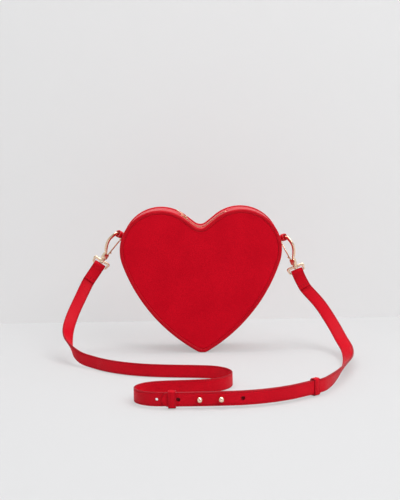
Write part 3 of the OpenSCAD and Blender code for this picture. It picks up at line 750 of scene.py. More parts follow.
def hook_matrix(side, way, turn=0.0):
    """The hook's frame: origin on the ring's bar and Z towards the claw."""
    x, y, z = hook_place(side, -1)[0]
    made = shift(x, y, z) @ spin(side[0], "Y") @ spin(turn, "Z")
    return made if way < 0 else FLIP_X @ made


def wrap(side, way, drift):
    """The sewn end: down the back, over the bar and down the front."""
    bar, up, across = hook_place(side, way)
    near = 2.2 * WRAP_R
    falls = [bar - f * up + drift * (f / FOLD_L) ** 2 for f in np.linspace(near, FOLD_L, 5)]
    over = [bar + WRAP_R * (np.array([0, cos(a), 0]) + sin(a) * up) for a in np.linspace(-15, 195, 9)]
    layer = np.array([0, LAYER_OFF, 0])
    return [(p, across) for p in [f + layer for f in falls[::-1]] + over + [f - layer for f in falls]]


def facing(route, i):
    """The direction out of the strap's face at a station."""
    near, across = route[max(0, i - 1):i + 2], route[i][1]
    t = unit(sum(unit(b[0] - a[0]) for a, b in zip(near, near[1:])))
    return np.cross(t, unit(across - (across @ t) * t))


def layered(route, start, end, n):
    """The route moved out of its face, by start at first and by end after n stations."""
    lifts = [start + (end - start) * ease(i / n) for i in range(len(route))]
    return [(c + lift * facing(route, i), u) for i, (lift, (c, u)) in enumerate(zip(lifts, route))]


def strap_routes():
    """Stations of the long and the short strap: (middle, direction across)."""
    low = [(0, 0, START_HEADING)]
    low += bend(low[-1], *START_BEND)
    low.append(ahead(low[-1], RUN_1))
    low += bend(low[-1], *BACK_BEND)
    low.append(ahead(low[-1], RUN_2))
    turn = bend(low[-1], TURN_R, TURN_A, TURN_STEPS)
    high = [ahead(turn[-1], RUN_3)]
    high += bend(high[-1], END_R, END_A, END_STEPS)
    high.append(ahead(high[-1], END_L))
    shift_x, shift_y = TURN_END - turn[-1][:2]

    def on_floor(places, lift):
        return [(np.array([x + shift_x, y + shift_y, LOW_Z + (HIGH_Z - LOW_Z) * lift(i)]), DOWN)
                for i, (x, y, _) in enumerate(places)]
    low = on_floor(low, lambda i: 0)
    turn = on_floor(turn, lambda i: ease((i + 1) / TURN_STEPS))
    high = on_floor(high, lambda i: 1)

    def hung(shares):
        return [np.array([x * WIDTH, y * WIDTH, LOW_Z + z * HEIGHT]) for x, y, z in shares]
    bar, up, across = hook_place(LEFT, -1)
    line = spline([bar - FOLD_L / 2 * up + LEFT_DRIFT / 4, bar - FOLD_L * up + LEFT_DRIFT] + hung(LEFT_SHARES)
                  + [low[0][0], low[1][0]])
    left_fall, right_fall = [], []
    turn_from, turn_over, right_turn_over, pinch_at, pinch_wide = 0.36, 0.58, 0.667, 0.24, 0.187
    for i, p in enumerate(line):
        t = i / len(line)
        share = ease((t - turn_from) / turn_over)
        pinch = 0.3 * math.exp(-((t - pinch_at) / pinch_wide) ** 2) * ease(t / 0.15)
        left_fall.append((p, across * (1 - share) + DOWN * share - (0, pinch, 0)))
    bar, up, across = hook_place(RIGHT, 1)
    line = spline([high[-2][0], high[-1][0]] + hung(RIGHT_SHARES)
                  + [bar - FOLD_L * up + RIGHT_DRIFT, bar - FOLD_L / 2 * up + RIGHT_DRIFT / 4])
    for i, p in enumerate(line):
        share = ease(i / len(line) / right_turn_over)
        right_fall.append((p, DOWN * (1 - share) + across * share))
    long_way = layered(left_fall + low + turn + high, -LAYER_OFF, LAYER_OFF, len(left_fall))
    tip = [(np.array([TURN_END[0] + STRAP_W / 2 * (1 - cos(a)), TURN_END[1], HIGH_Z]), DOWN)
           for a in (2, 18, 36, 54, 72, 90)]
    short_way = layered(tip + high + right_fall[1:], -LAYER_OFF, -LAYER_OFF, 1)
    return wrap(LEFT, -1, LEFT_DRIFT)[::-1] + long_way[1:], short_way + wrap(RIGHT, 1, RIGHT_DRIFT)


def on_run(s):
    """The frame of the front run's two layers, a distance s along it."""
    x, y = TURN_END
    if s < 0:
        a = math.degrees(s / TURN_R)
        return shift(x + TURN_R * sin(a), y + TURN_R * (1 - cos(a)), HIGH_Z) @ spin(a, "Z")
    a = math.degrees(min(END_RUN, max(0, s - RUN_3)) / END_R)
    far = max(0, s - RUN_3 - END_RUN)
    return shift(x + min(s, RUN_3) + END_R * sin(a) + far * cos(a),
                 y + END_R * (1 - cos(a)) + far * sin(a), HIGH_Z) @ spin(a, "Z")


class Strip:
    """A strap along a smooth line, with its directions along, across and out of its face at each step."""

    def __init__(self, route, step=1.6):
        middle, side = np.array([c for c, _ in route]), np.array([unit(u) for _, u in route])
        keep = np.concatenate([[True], np.diff(distances(middle)) > 0.05])
        middle, side = middle[keep], side[keep]
        far = distances(middle)
        self.s = np.concatenate([np.linspace(a, b, max(2, math.ceil((b - a) / step)) + 1)[:-1]
                                 for a, b in zip(far, far[1:])] + [far[-1:]])
        self.middle, side = self.curve(far, middle), self.curve(far, side)
        along = units(np.gradient(self.middle, self.s, axis=0))
        self.across = units(side - (side * along).sum(1)[:, None] * along)
        self.face = np.cross(along, self.across)

    def curve(self, far, values):
        """Smooth curve through values at the distances far, read at every step."""
        h = np.diff(far)[:, None]
        d = np.diff(values, axis=0) / h
        m = np.vstack([d[:1], (d[:-1] * h[1:] + d[1:] * h[:-1]) / (h[1:] + h[:-1]), d[-1:]])
        k = np.clip(np.searchsorted(far, self.s, side="right") - 1, 0, len(h) - 1)
        t = ((self.s - far[k]) / h[k, 0])[:, None]
        return ((2 * t ** 3 - 3 * t ** 2 + 1) * values[k] + (t ** 3 - 2 * t ** 2 + t) * h[k] * m[k]
                + (3 * t ** 2 - 2 * t ** 3) * values[k + 1] + (t ** 3 - t ** 2) * h[k] * m[k + 1])

    def shell(self, round_start):
        """Cross sections with painted round edges and a crease beside each, and which faces are edge."""
        r, half_t = STRAP_W / 2, STRAP_T / 2
        into_end = self.s - self.s[0] if round_start else self.s[-1] - self.s
        halves = np.minimum(r, np.sqrt(np.maximum(0, r * r - np.maximum(0, r - into_end) ** 2)) + 0.35)
        inset, dip = sizes().crease_in / MM, sizes().crease_depth / MM
        low, slope = 1 - dip, 1 - dip / 2
        edge = [(0.62, -0.98), (0.3, -0.8), (0.08, -0.42), (0, 0), (0.08, 0.42), (0.3, 0.8), (0.62, 0.98)]
        face = [(inset - 0.45, 1), (inset - 0.2, slope), (inset, low), (inset + 0.2, slope), (inset + 0.5, 1),
                (r / 2, 1.02)]
        side = [(-1, d, v) for d, v in edge + face] + [(1, r, 1.03)] + [(1, d, v) for d, v in face[::-1]]
        profile = side + [(-way, d, -v) for way, d, v in side]
        rings = [np.array([c + a * way * (half - d * half / r) + f * v * half_t for way, d, v in profile])
                 for c, a, f, half in zip(self.middle, self.across, self.face, halves)]
        verts, faces = loft(rings)
        marks = [int(i % len(side) < len(edge) - 1) for i in range(len(faces) - 2)] + [1, 1]
        return (verts, faces), marks

    def seam(self, way, inset, out, start, end):
        """A line of stitching along one edge, on the outer (1) or inner (-1) face."""
        keep = (self.s >= start) & (self.s <= end)
        edge = self.middle + self.across * way * (STRAP_W / 2 - inset) + self.face * out * (STRAP_T / 2 - 0.2)
        return edge[keep], (self.face * out)[keep]

    def cross_seam(self, s, out):
        """A line of stitching across the strap."""
        i = int(np.abs(self.s - s).argmin())
        w = STRAP_W / 2 - 2.2
        return ([self.middle[i] + self.across[i] * u + self.face[i] * out * STRAP_T / 2 for u in (-w, 0, w)],
                [self.face[i] * out] * 3)


# One operator for each piece or group of like pieces

class PURSE_OT_boards(bpy.types.Operator):
    """Give the stiffening boards inside the bag their material"""
    bl_idname = "purse.finish_boards"
    bl_label = "Boards"

    def execute(self, context):
        for node in ("front_board", "back_board", "gusset_board"):
            dress(node, "stiff_board")
        return {"FINISHED"}


class PURSE_OT_faces(bpy.types.Operator):
    """Make the padded leather of the front and back, with the foam behind it"""
    bl_idname = "purse.make_faces"
    bl_label = "Faces"

    def execute(self, context):
        crown, crown_over, folds_over = sizes().face_crown / MM, 16, 8
        broad, fine = 34, 13

        def height(gap, x, z):
            folds = wander(x / broad, z / broad, 1.7) * 0.12 + wander(x / fine, z / fine, 5.2) * 0.03
            return (PANEL_Y - 0.08 - crown * (1 - math.exp(-gap / crown_over))
                    - folds * (1 - math.exp(-gap / folds_over)))
        turned = [(4.62, -0.9), (4.62, -1.6), (4.66, -1.92), (4.78, -2.1), (5.02, -2.24), (5.5, -2.33),
                  (6.5, -2.37), (8, -2.38)]
        rings = [ring(off, y) for off, y in turned]
        verts, faces = loft(rings, caps=False)
        faces.append(tuple(range(len(rings[0]))))
        skin = joined((verts, faces), filled(rings[-1], height))
        foam = [(4.9, -0.85), (4.66, -0.5), (4.6, 0.3), (4.64, 1.2), (4.9, 1.55)]
        padding = loft([ring(off, y) for off, y in foam])
        for (side, face), (_, pad) in zip(both_sides(skin), both_sides(padding)):
            piece(side + "_face", face, "face_leather", side + "_panel", sharp=60)
            piece(side + "_foam", pad, "padding_foam", side + "_padding")
        return {"FINISHED"}


class PURSE_OT_edgings(bpy.types.Operator):
    """Make the rolled leather edgings round the front and back"""
    bl_idname = "purse.make_edgings"
    bl_label = "Edgings"

    def execute(self, context):
        front = -RIM_T / 2
        profile = [(4.6, 2.6), (4.3, 3.0), (1.9, 3.02), (1.25, 3.0), (0.75, 2.86), (0.34, 2.52), (0.1, 2.05),
                   (0, 1.5), (-0.02, 0.6), (-0.02, -0.4), (0.02, -1.1), (0.16, -1.72), (0.48, -2.28),
                   (0.95, -2.68), (1.5, -2.9), (2.1, front), (2.75, front), (3.3, -2.95), (3.8, -2.82),
                   (4.2, -2.6), (4.45, -2.36), (4.58, -2.1), (4.6, -1.5), (4.6, -0.4)]
        verts, faces = loft([ring(off, y) for off, y in profile], loop=True)
        middle, broad, fine, near_floor = np.array([0, 0, 100.0]), 11, 4, 4
        rolled = np.array([v + unit((v - middle) * (1, 0, 1)) * (v[2] > near_floor)
                           * (wander(*v / broad) * 0.05 + wander(*v / fine) * 0.02) for v in verts])
        for side, shape in both_sides((rolled, faces)):
            piece(side + "_rim", shape, "edging_leather", side + "_edging", sharp=70)
        return {"FINISHED"}


class PURSE_OT_side_band(bpy.types.Operator):
    """Make the leather of the side bands, with turned edges at the seams and round the zip, and the lining"""
    bl_idname = "purse.make_side_band"
    bl_label = "Side bands"

    def execute(self, context):
        near = [3.0, 3.25, 3.6, 4.2, 5.2, 7, 10, 13.5, 17, 18.6, 19.4, 19.9, 20.6, 21.3, 21.8, 22.05, 22.2]
        depths = near + [24, MID_Y, 28] + [2 * MID_Y - y for y in near[::-1]]
        upper, lower = upper_band(GUSSET_INSET), lower_band(GUSSET_INSET)
        start, end = slot_ends(upper)

        tuck, tuck_over, swell, swell_from, swell_over = 0.75, 1.3, 0.22, 2, 14
        turn_in, turn_over = 0.7, 0.9

        def tucked(y):
            far = min(y, 2 * MID_Y - y) - EDGING_Y
            return -tuck * (1 - ease(far / tuck_over)) + swell * ease((far - swell_from) / swell_over)

        def turned_in(s, band):
            return -turn_in * (1 - ease(min(s, band.s[-1] - s) / turn_over))

        def upper_place(s, y):
            gap = math.hypot(max(start - s, 0, s - end), max(abs(y - MID_Y) - SLOT_W / 2, 0))
            calm = ease((gap - 2) / 6) if tucked(y) > 0 else 1
            return upper.at(s, y, tucked(y) * calm + turned_in(s, upper) + slot_dip(gap))[0]

        def lower_place(s, y):
            return lower.at(s, y, tucked(y) + turned_in(s, lower))[0]
        at_seam, at_slot = np.array([0.3, 0.6, 0.9]), np.array([0.35, 0.7, 1.4, 2.2, 2.8, 3.4])
        rows = upper.rows(start - at_slot, end + at_slot, at_seam, upper.s[-1] - at_seam)
        steps = [thickened(LEATHER_T - 0.05), bevel(0.25, 2, 50)]
        piece("top_band", sheet(rows, depths, upper_place, (start, end)), "band_leather",
              "top_gusset", sharp=50, steps=steps, outward=True)
        rows = lower.rows(at_seam, lower.s[-1] - at_seam)
        piece("lower_band", sheet(rows, depths, lower_place), "band_leather",
              "lower_gusset", sharp=50, steps=steps, outward=True)
        away = 1.5
        w, dip = SLOT_W / 2 + away, slot_dip(away)
        seams = [upper.seam([(s, y) for s in np.arange(start - away, end + away, 1.0)], dip)
                 for y in (MID_Y - w, MID_Y + w)]
        seams += [upper.seam([(s, y) for y in (MID_Y - w, MID_Y, MID_Y + w)], dip)
                  for s in (start - away, end + away)]
        piece("zip_stitching", stitches(seams, 0.12), "thread")
        self.lining(upper, lower, (start, end))
        return {"FINISHED"}

    def lining(self, upper, lower, slot):
        """The cloth inside: a front, a back and a band that is open at the zip."""
        def hung(band):
            sag = GUSSET_INSET - LINING_INSET - 0.1
            return lambda s, y: band.at(s, y, sag - 0.5 * abs(wander(s / 21, y / 17, 3)))[0]

        def height(gap, x, z):
            return 3.2 + 0.5 * min(1, gap / 9) * (0.5 + wander(x / 30, z / 30, 8))
        depths = [3.2, 7, 11, 15, 19, 22.2, MID_Y, 29.8, 33, 37, 41, 45, 48.8]
        face = filled(ring(LINING_INSET + 0.15, 3.2), height, 7)
        parts = [sheet(upper.rows(slot, upper.s[-1:], every=2), depths, hung(upper), slot),
                 sheet(lower.rows(lower.s[-1:], every=2), depths, hung(lower))]
        parts += [shape for _, shape in both_sides(face)]
        piece("inner_lining", joined(*parts), "lining_cloth", "lining", sharp=50,
              steps=[thickened(0.4)])


class PURSE_OT_zip(bpy.types.Operator):
    """Make the zip's tapes, teeth and stops"""
    bl_idname = "purse.make_zip"
    bl_label = "Zip"

    def execute(self, context):
        line = upper_band(ZIP_INSET)
        middle = line.s[-1] / 2
        step = (LOBE_R - ZIP_INSET) * math.radians(UPPER_STEP)
        slope = np.linalg.norm(upper_half(0)[12] - upper_half(0)[21])
        left_l = (CLEFT_R + ZIP_INSET) * math.radians(SLOPE) + slope + step
        right_l = left_l + 2 * step
        depths = [15.9, 18, 20, 21.2, 21.9, 22.3, 22.7, 23.1, 23.5, 23.9, 24.2]
        low, rise, rise_from, rise_over = -0.36, 1.15, 21.2, 1.8

        def place(s, y):
            bead = 0.12 if 22.9 < y < 23.4 else 0
            return line.at(s, y, rise * ease((y - rise_from) / rise_over) + low + bead)[0]
        rows = np.arange(middle - left_l - step, middle + right_l + step, 0.8)
        for side, tape in both_sides(sheet(rows, depths, place)):
            piece(side + "_zip_tape", tape, "tape_weave", "zip_tape_" + side, sharp=50,
                  steps=[thickened(0.52)], outward=True)
        verts, faces = self.tooth()
        first, last = (math.floor((far - 2 - TOOTH_PITCH) / TOOTH_PITCH) for far in (left_l, right_l))
        for side, late, way in (("front", 0, 1), ("back", 0.5, -1)):
            teeth = [line.stand(middle + (i + late) * TOOTH_PITCH, (verts * (1, way, 1), faces))
                     for i in range(-first, last + 1)]
            piece(side + "_zip_teeth", joined(*teeth), "zip_plating", "zip_teeth_" + side,
                  sharp=45)
        stop = block((-0.95, -TAPE_EDGE, -0.5), (0.95, TAPE_EDGE, 2.1))
        stops = [line.stand(s, stop) for s in (middle - left_l + 1, middle + right_l - 1)]
        piece("zip_end_stops", joined(*stops), "zip_plating", "zip_stops", steps=[bevel(0.4)])
        return {"FINISHED"}

    def tooth(self):
        """One tooth: a clamped foot on the tape and a rounder head."""
        plan = doubled([(-2.6, -0.55), (-1.3, -0.55), (-0.6, -0.4), (-0.1, -0.5), (0.35, -0.34)])
        levels = ((-0.5, 0.72), (-0.3, 0.94), (0.3, 1), (1.6, 1), (2.05, 0.92), (2.3, 0.68))
        return loft([np.array([(x * share, -1.55 + (y + 1.55) * (0.9 + 0.1 * share), z) for y, x in plan])
                     for z, share in levels])


class PURSE_OT_slider(bpy.types.Operator):
    """Make the zip's slider and its puller"""
    bl_idname = "purse.make_slider"
    bl_label = "Slider and puller"

    def execute(self, context):
        place = shift(SLIDER_X, MID_Y, SLIDER_Z) @ spin(SLOPE, "Y")
        shield = doubled([(-4, -2.2), (-3.6, -3.0), (-2.6, -3.4), (0.4, -3.3), (2.6, -2.75), (3.6, -2.5),
                          (4, -2.0)])
        parts = [prism(shield, 2.38, 3.0), prism(shield, -2.0, -1.3), block((-1, -0.4, -1.9), (1, 0.4, 2.9))]
        for way in (-1, 1):
            rail = [(x, way * y) for x, y in
                    ((-2.6, 3.4), (0.4, 3.3), (2.6, 2.78), (2.6, 2.45), (0.4, 2.95), (-2.6, 3.0))]
            parts += [prism(rail, 1.05, 2.5), prism(rail, -1.4, -0.6)]
            ear = [(-1.1, 2.6)] + [(1.1 * cos(a), PULLER_LIFT + 1.1 * sin(a)) for a in range(180, -1, -20)]
            verts, faces = prism(ear + [(1.1, 2.6)], 0, 0.8)
            parts.append((np.column_stack([verts[:, 0], way * (1.6 + verts[:, 2]), verts[:, 1]]), faces))
        piece("slider_body", moved(place, *parts), "zip_plating", "zip_slider", "zip_runner",
              steps=[bevel(0.16, 2, 40)])
        place = place @ shift(0, 0, PULLER_LIFT)
        pin = lathe(doubled([(0, -2.4), (0.42, -2.4), (0.53, -2.28)]), 20)
        piece("slider_pin", moved(place @ LIE, pin), "zip_plating", body="zip_runner")
        rim = [(-1.2, 1.4), (-2.2, 1.4), (-3.4, 2.1), (-5, 2.5)]
        end = [(-12.5 + 2.5 * cos(a), 2.5 * sin(a)) for a in range(90, 271, 15)]
        leaf = prism(rim + end + [(x, -y) for x, y in rim[::-1]], -0.48, 0.42)
        made = piece("puller_leaf", moved(place, leaf), "zip_plating", "zip_puller",
                     "zip_pull_tab")
        hole = lathe([(0, 0), (1.15, 0), (1.15, 5), (0, 5)], 28)
        cut(made, moved(place @ shift(-12.4, 0, -3), hole), bevel(0.22, 3, 40), sharp=40)
        eye = lathe(doubled([(0.62, -1.4), (1.0, -1.4), (1.1, -1.28)]), 28, True)
        piece("puller_eye", moved(place @ LIE, eye), "zip_plating", body="zip_pull_tab")
        return {"FINISHED"}


class PURSE_OT_tabs(bpy.types.Operator):
    """Make the leather loops that hold the hooks, with their sewn patches"""
    bl_idname = "purse.make_tabs"
    bl_label = "Side tabs"

    def execute(self, context):
        for name, side, way in SIDES:
            self.patch(name, way)
            self.loop(name, side, way)
        return {"FINISHED"}

    def patch(self, name, way):
        """A sewn patch with round corners over the side seam."""
        r, half_angle, half_w, corner = BAND_R + 0.22, 7, 5, 1.6
        edge = np.array([p[:2] for p in rounded(math.radians(half_angle) * r, half_w, corner, 15)])

        def place(p, lift):
            x, z = on_lobe(r + lift, SEAM_ANGLE + math.degrees(p[0] / r))
            return (way * x, MID_Y + p[1], z)

        def inset(p, by):
            return np.sign(p) * np.maximum(0, np.abs(p) - by)
        rims = ((1, 0), (1.0, 0.55), (0.985, 0.8), (0.95, 0.95), (0.88, 1.0))
        tops = ((0.85, 0.93), (1, 0.97), (2.5, 1.0), (4.4, 1.0))
        rings = [np.array([place(p * share, lift) for p in edge]) for share, lift in rims]
        rings += [np.array([place(inset(p, by), lift) for p in edge]) for by, lift in tops]
        piece(name + "_patch", loft(rings), "band_leather", sharp=50)
        walk = np.array([place(inset(p, 1), 0.97) for p in np.vstack([edge, edge[:1]])])
        out = (walk - (way * LOBE_C[0], MID_Y, LOBE_C[1])) * (1, 0, 1)
        piece(name + "_patch_stitching", stitches([(walk, out)], 0.1, 0.4), "thread")

    def loop(self, name, side, way):
        """A strip of leather bent into a loop. Its two ends lie together and go under the patch."""
        lean, angle, reach = side
        half_w, half_t, loop_r = 2.75, 0.7, 3.9
        x, z = tab_place(side)
        section = [p[:2] for p in rounded(half_w, half_t, 0.4, 30)]
        rings = [np.array([(u, (loop_r + v) * cos(a), (loop_r + v) * sin(a)) for u, v in section])
                 for a in np.arange(48) * 7.5]
        hoop = moved(shift(-x, MID_Y, z) @ spin(lean, "Y") @ spin(45, "Z"), loft(rings, loop=True))
        start, end = BAND_R + 0.7, BAND_R + reach - 3.3
        stations = ((0, 1, 1.5), (0.4, 0.982, 1.3), (0.75, 0.964, 1.3), (1, 0.945, 1.35))
        neck = [np.array([(-start - (end - start) * share, u * wide, 2.1 + v * thick / half_t)
                          for u, v in section]) for share, wide, thick in stations]
        legs = moved(shift(-LOBE_C[0], MID_Y, LOBE_C[1]) @ spin(angle, "Y"), loft(neck))
        soften = ("CORRECTIVE_SMOOTH", {"iterations": 6, "use_only_smooth": True, "smooth_type": "SIMPLE"})
        piece(name + "_loop", joined(hoop, legs), "band_leather", name + "_tab", sharp=80,
              steps=[("REMESH", {"mode": "VOXEL", "voxel_size": 0.2 * MM}), soften], mirror=way > 0)


class PURSE_OT_snap_hooks(bpy.types.Operator):
    """Make the two swivel snap hooks with their rings, gates, pins and springs"""
    bl_idname = "purse.make_snap_hooks"
    bl_label = "Snap hooks"

    def execute(self, context):
        for name, side, way in SIDES:
            self.ring(name, hook_matrix(side, way))
            place = hook_matrix(side, way, CLAW_TURN)
            self.body(name, place)
            self.claw(name, place)
            self.gate(name, place @ shift(PIVOT_X, 0, PIVOT_Z))
            dress(name + "_gate_spring", "sprung_steel")
        return {"FINISHED"}

    def ring(self, name, place):
        """A wire frame with round corners, cast square at the top, and a boss that the post turns in."""
        half, top, corner, wire, more = 9.4, 7.05, 1.6, 1.2, 0.48
        walk = np.array([(x, 0, top / 2 + z) for x, z, _ in rounded(half, top / 2, corner, 10)])
        turn, rings = turns(18), []
        for p, t in zip(walk, np.roll(walk, -1, 0) - np.roll(walk, 1, 0)):
            cast = ease((p[2] - 2.4) / 3)
            aside = 0.5 * np.sign(p[0]) * ease((abs(p[0]) - half + 2.4) / 2.2)
            sunk = -0.25 * ease((p[2] - 5.2) / 1.6)
            square = 1 + cast * ((np.cos(turn) ** 4 + np.sin(turn) ** 4) ** -0.25 - 1)
            thick = (wire + more * cast) * square
            out = np.cross(unit(t), (0, 1, 0))
            rings.append(oval(p + cast * np.array([aside, 0, sunk]), turn, out, thick, thick))
        boss = lathe(doubled([(1.56, -1.9), (2.45, -1.9), (2.62, -1.81), (2.7, -1.63)]), 18, True)
        parts = loft(rings, loop=True), moved(shift(0, 0, top), boss)
        piece(name + "_ring_frame", moved(place, *parts), "gold_plating", name + "_strap_ring",
              sharp=50)

    def body(self, name, place):
        """The post with its collar, and the slotted base."""
        hook = name + "_hook"
        post = lathe([(0, 3.85), (2.1, 3.85), (2.35, 3.98), (2.4, 4.2), (2.4, 4.7), (2.3, 4.9), (2.1, 4.95),
                      (1.5, 4.95), (1.5, 9.15), (2.6, 9.15), (2.82, 9.25), (2.9, 9.5), (2.9, 10.0),
                      (2.8, 10.25), (2.6, 10.36), (0, 10.36)])
        piece(name + "_swivel_post", moved(place, post), "gold_plating", body=hook, sharp=45)
        base_r, half_t = 4, 2.3
        flat = math.degrees(math.asin(half_t / base_r))
        plan = [(base_r * cos(a), base_r * sin(a)) for a in np.linspace(-flat, flat, 9)]
        plan += [(-x, y) for x, y in plan[::-1]]
        levels = [(10.35, 0.9), (10.6, 0.97), (10.9, 1), (16.2, 1), (16.8, 0.95), (17.05, 0.86)]
        base = loft([np.array([(x * share, y * share, z) for x, y in plan]) for z, share in levels])
        made = piece(name + "_hook_base", moved(place, base), "gold_plating", body=hook)
        cut(made, moved(place, block((-1, -1.2, 12.3), (8, 1.2, 20))), bevel(0.2, 2, 35), sharp=40)

    def claw(self, name, place):
        """A wire that bulges at the back, turns over at the top and ends in a slimmer nose."""
        back = [(-0.8, -26), (-1.35, -23.2), (-2.9, -20.4), (-5.2, -16.2), (-7, -12), (-7.9, -8),
                (-7.9, -4.8), (-7.1, -1.6), (-6.1, 1.2), (-4.9, 3.7), (-3.2, 5.2), (-1.2, 5.95), (0, 6.0),
                (2.3, 5.54), (4.24, 4.24), (5.54, 2.3), (6, 0), (5.94, -0.84), (5.6, -2)]
        knots = [np.array([x, 0, CLAW_H + z]) for x, z in back]
        walk = spline(knots, 5) + [knots[-2]]
        turn, rings = turns(24), []
        for i, p in enumerate(walk):
            out = np.cross((0, 1, 0), unit(walk[min(i + 1, len(walk) - 1)] - walk[max(i - 1, 0)]))
            broad = ease((p[2] - 15) / 9) * ease((1 - p[0]) / 6)
            wire = CLAW_WIRE * (1 - 0.17 * ease((p[0] - 3) / 3))
            rings.append(oval(p, turn, out, wire * np.where(np.cos(turn) < 0, 1 + 0.9 * broad, 1), wire))
        piece(name + "_claw", moved(place, loft(rings)), "gold_plating", name + "_hook_body",
              name + "_hook", sharp=60)

    def gate(self, name, pivot):
        """The hinge pin, and the gate with its eye, bar and thumb lug."""
        pin = lathe(doubled([(0, -2.42), (0.5, -2.4), (0.72, -2.28)]), 24)
        piece(name + "_hinge_pin", moved(pivot @ LIE, pin), "gold_plating", name + "_gate_pin",
              name + "_hook")
        x, z = CLAW_R * cos(NOSE_A) - PIVOT_X, CLAW_H - CLAW_R * sin(NOSE_A) - PIVOT_Z
        long = math.hypot(x, z) - 0.3
        eye = lathe(doubled([(0.8, -1), (1.5, -1), (1.66, -0.85), (1.7, -0.6)]), 28, True)
        bar = [(0, 1.2), (0.9, 1.2), (0.9, long - 0.5), (0.75, long - 0.12), (0.45, long), (0, long)]
        lug = [(0, 0), (1.15, 0), (1.28, 0.15), (1.28, 0.9), (1.1, 1.15), (0.7, 1.25), (0, 1.25)]
        parts = moved(LIE, eye), lathe(bar, 24), moved(shift(0.75, 0, 6) @ spin(90, "Y"), lathe(lug, 24))
        place = pivot @ spin(math.degrees(math.atan2(x, z)), "Y")
        piece(name + "_gate_bar", moved(place, *parts), "gold_plating", name + "_gate",
              name + "_gate_arm", sharp=45)


class PURSE_OT_strap(bpy.types.Operator):
    """Make the long and the short strap, with painted edges, creases, holes and stitching"""
    bl_idname = "purse.make_strap"
    bl_label = "Strap"

    def execute(self, context):
        def hole(r, flare_r):
            return doubled([(0, -CUT_T), (flare_r, -CUT_T), (flare_r, -2.05), (r, -1.8)])
        wide, small, stud = hole(2.0, 2.25), hole(1.55, 1.8), doubled([(0, -CUT_T), (1.65, -CUT_T)])
        blind = (wide[:4] + [(2.0, -1.25), (0, -1.25)], [(0, -0.85), (2.0, -0.85), (2.0, CUT_T), (0, CUT_T)])
        holes = {"long": [(0, small), *((i, half) for i in (1, 4) for half in blind), (2, stud), (3, stud)],
                 "short": [(i, wide) for i in (1, 2, 3, 4)]}
        for name, route in zip(("long", "short"), strap_routes()):
            strip = Strip(route)
            shape, marks = strip.shell(name == "short")
            made = piece(name + "_strap_leather", shape, "strap_hide edge_paint",
                         name + "_strap", second=marks, sharp=50)
            for i, profile in holes[name]:
                place = on_run(FIRST_HOLE + i * HOLE_PITCH) @ LIE
                cut(made, moved(place, lathe(profile, 32)), inner=1, sharp=50)
            self.sew(name, strip)
        return {"FINISHED"}

    def sew(self, name, strip):
        """Stitching along both edges on both faces, and across the sewn fold."""
        total, fold, inset = strip.s[-1], 2 * FOLD_L + FOLD_ROUND, sizes().crease_in / MM
        runs, crosses = [(fold + 1, total - 9), (2, 18)], (2.4, 4.8, fold - 3.3, fold - 0.9)
        if name == "short":
            runs, crosses = [(total - b, total - a) for a, b in runs], [total - s for s in crosses]
        seams = [strip.seam(way, inset, out, *run) for run in runs for way in (-1, 1) for out in (-1, 1)]
        seams += [strip.cross_seam(s, out) for s in crosses for out in (-1, 1)]
        piece(name + "_strap_stitching", stitches(seams, 0.1), "thread")


class PURSE_OT_keepers(bpy.types.Operator):
    """Make the two leather loops that slide on the strap"""
    bl_idname = "purse.make_keepers"
    bl_label = "Strap loops"

    def execute(self, context):
        seam_u, seam_v, thick, room_y, room_z = 2.65, 0.62, 0.7, 4.7, 15.6
        half = [(-3.72, -0.6), (-3.93, -0.44), (-4, 0), (-3.93, 0.5), (-3.72, 0.68), (-2.9, thick),
                (-seam_u, 0.56), (-2.4, thick)]
        section = half + [(0, 0.72)] + [(-u, v) for u, v in half[::-1]] + [(0, -0.6)]
        walk = rounded(room_y / 2 + thick, room_z / 2 + thick, 1.5, 10)
        outs = np.array([(0, cos(a), sin(a)) for _, _, a in walk])
        walk = np.array([(0, y, z) for y, z, _ in walk])
        band = loft([p + [o * v + (u, 0, 0) for u, v in section] for p, o in zip(walk, outs)], loop=True)
        painted = (0, 1, 2, 3, 12, 13, 14, 15)
        marks = [int(k % len(section) in painted) for k in range(len(band[1]))]
        for name, at in (("tip", 10.6), ("end", RUN_3 + END_RUN + 17)):
            place = on_run(at)
            piece(name + "_keeper_leather", moved(place, band), "strap_hide edge_paint",
                  name + "_keeper", name + "_loop", second=marks, sharp=50)
            around = np.append(np.arange(len(walk)), 0)
            normals = (outs @ np.array(place)[:3, :3].T)[around]
            lines = [moved(place, (walk + outs * seam_v + (u, 0, 0), []))[0] for u in (-seam_u, seam_u)]
            seams = [(line[around], normals) for line in lines]
            piece(name + "_keeper_stitching", stitches(seams, 0.1, 0.38), "thread",
                  body=name + "_loop")
        return {"FINISHED"}


class PURSE_OT_studs(bpy.types.Operator):
    """Make the ball studs and the slotted screws behind them"""
    bl_idname = "purse.make_studs"
    bl_label = "Ball studs"

    def execute(self, context):
        ball_r, ball = 3, 5.19
        stud = [(0, -2.0), (1.6, -2.0), (1.6, 2.1), (2.25, 2.12), (2.32, 2.25), (2.2, 2.42), (1.7, 2.5),
                (1.5, 2.62), (1.5, 2.7)]
        stud += [(ball_r * sin(a), ball - ball_r * cos(a)) for a in range(32, 180, 6)] + [(0, ball + ball_r)]
        head = [(0, 1.9), (0.9, 1.9), (0.9, 2.06), (2.7, 2.06), (2.95, 2.2), (3.0, 2.4), (2.85, 2.65),
                (2.4, 2.85), (1.4, 2.97), (0, 3.0)]
        for i in (2, 3):
            place = on_run(FIRST_HOLE + i * HOLE_PITCH)
            piece(f"ball_stud_{i - 1}", moved(place @ LIE, lathe(stud)), "gold_plating",
                  "strap_studs", sharp=50)
            screw = piece(f"stud_screw_{i - 1}", moved(place @ spin(-90, "X"), lathe(head)), "gold_plating",
                          "stud_screws", sharp=50)
            cut(screw, moved(place, block((-4, 2.62, -0.35), (4, 4, 0.35))), sharp=45)
        return {"FINISHED"}


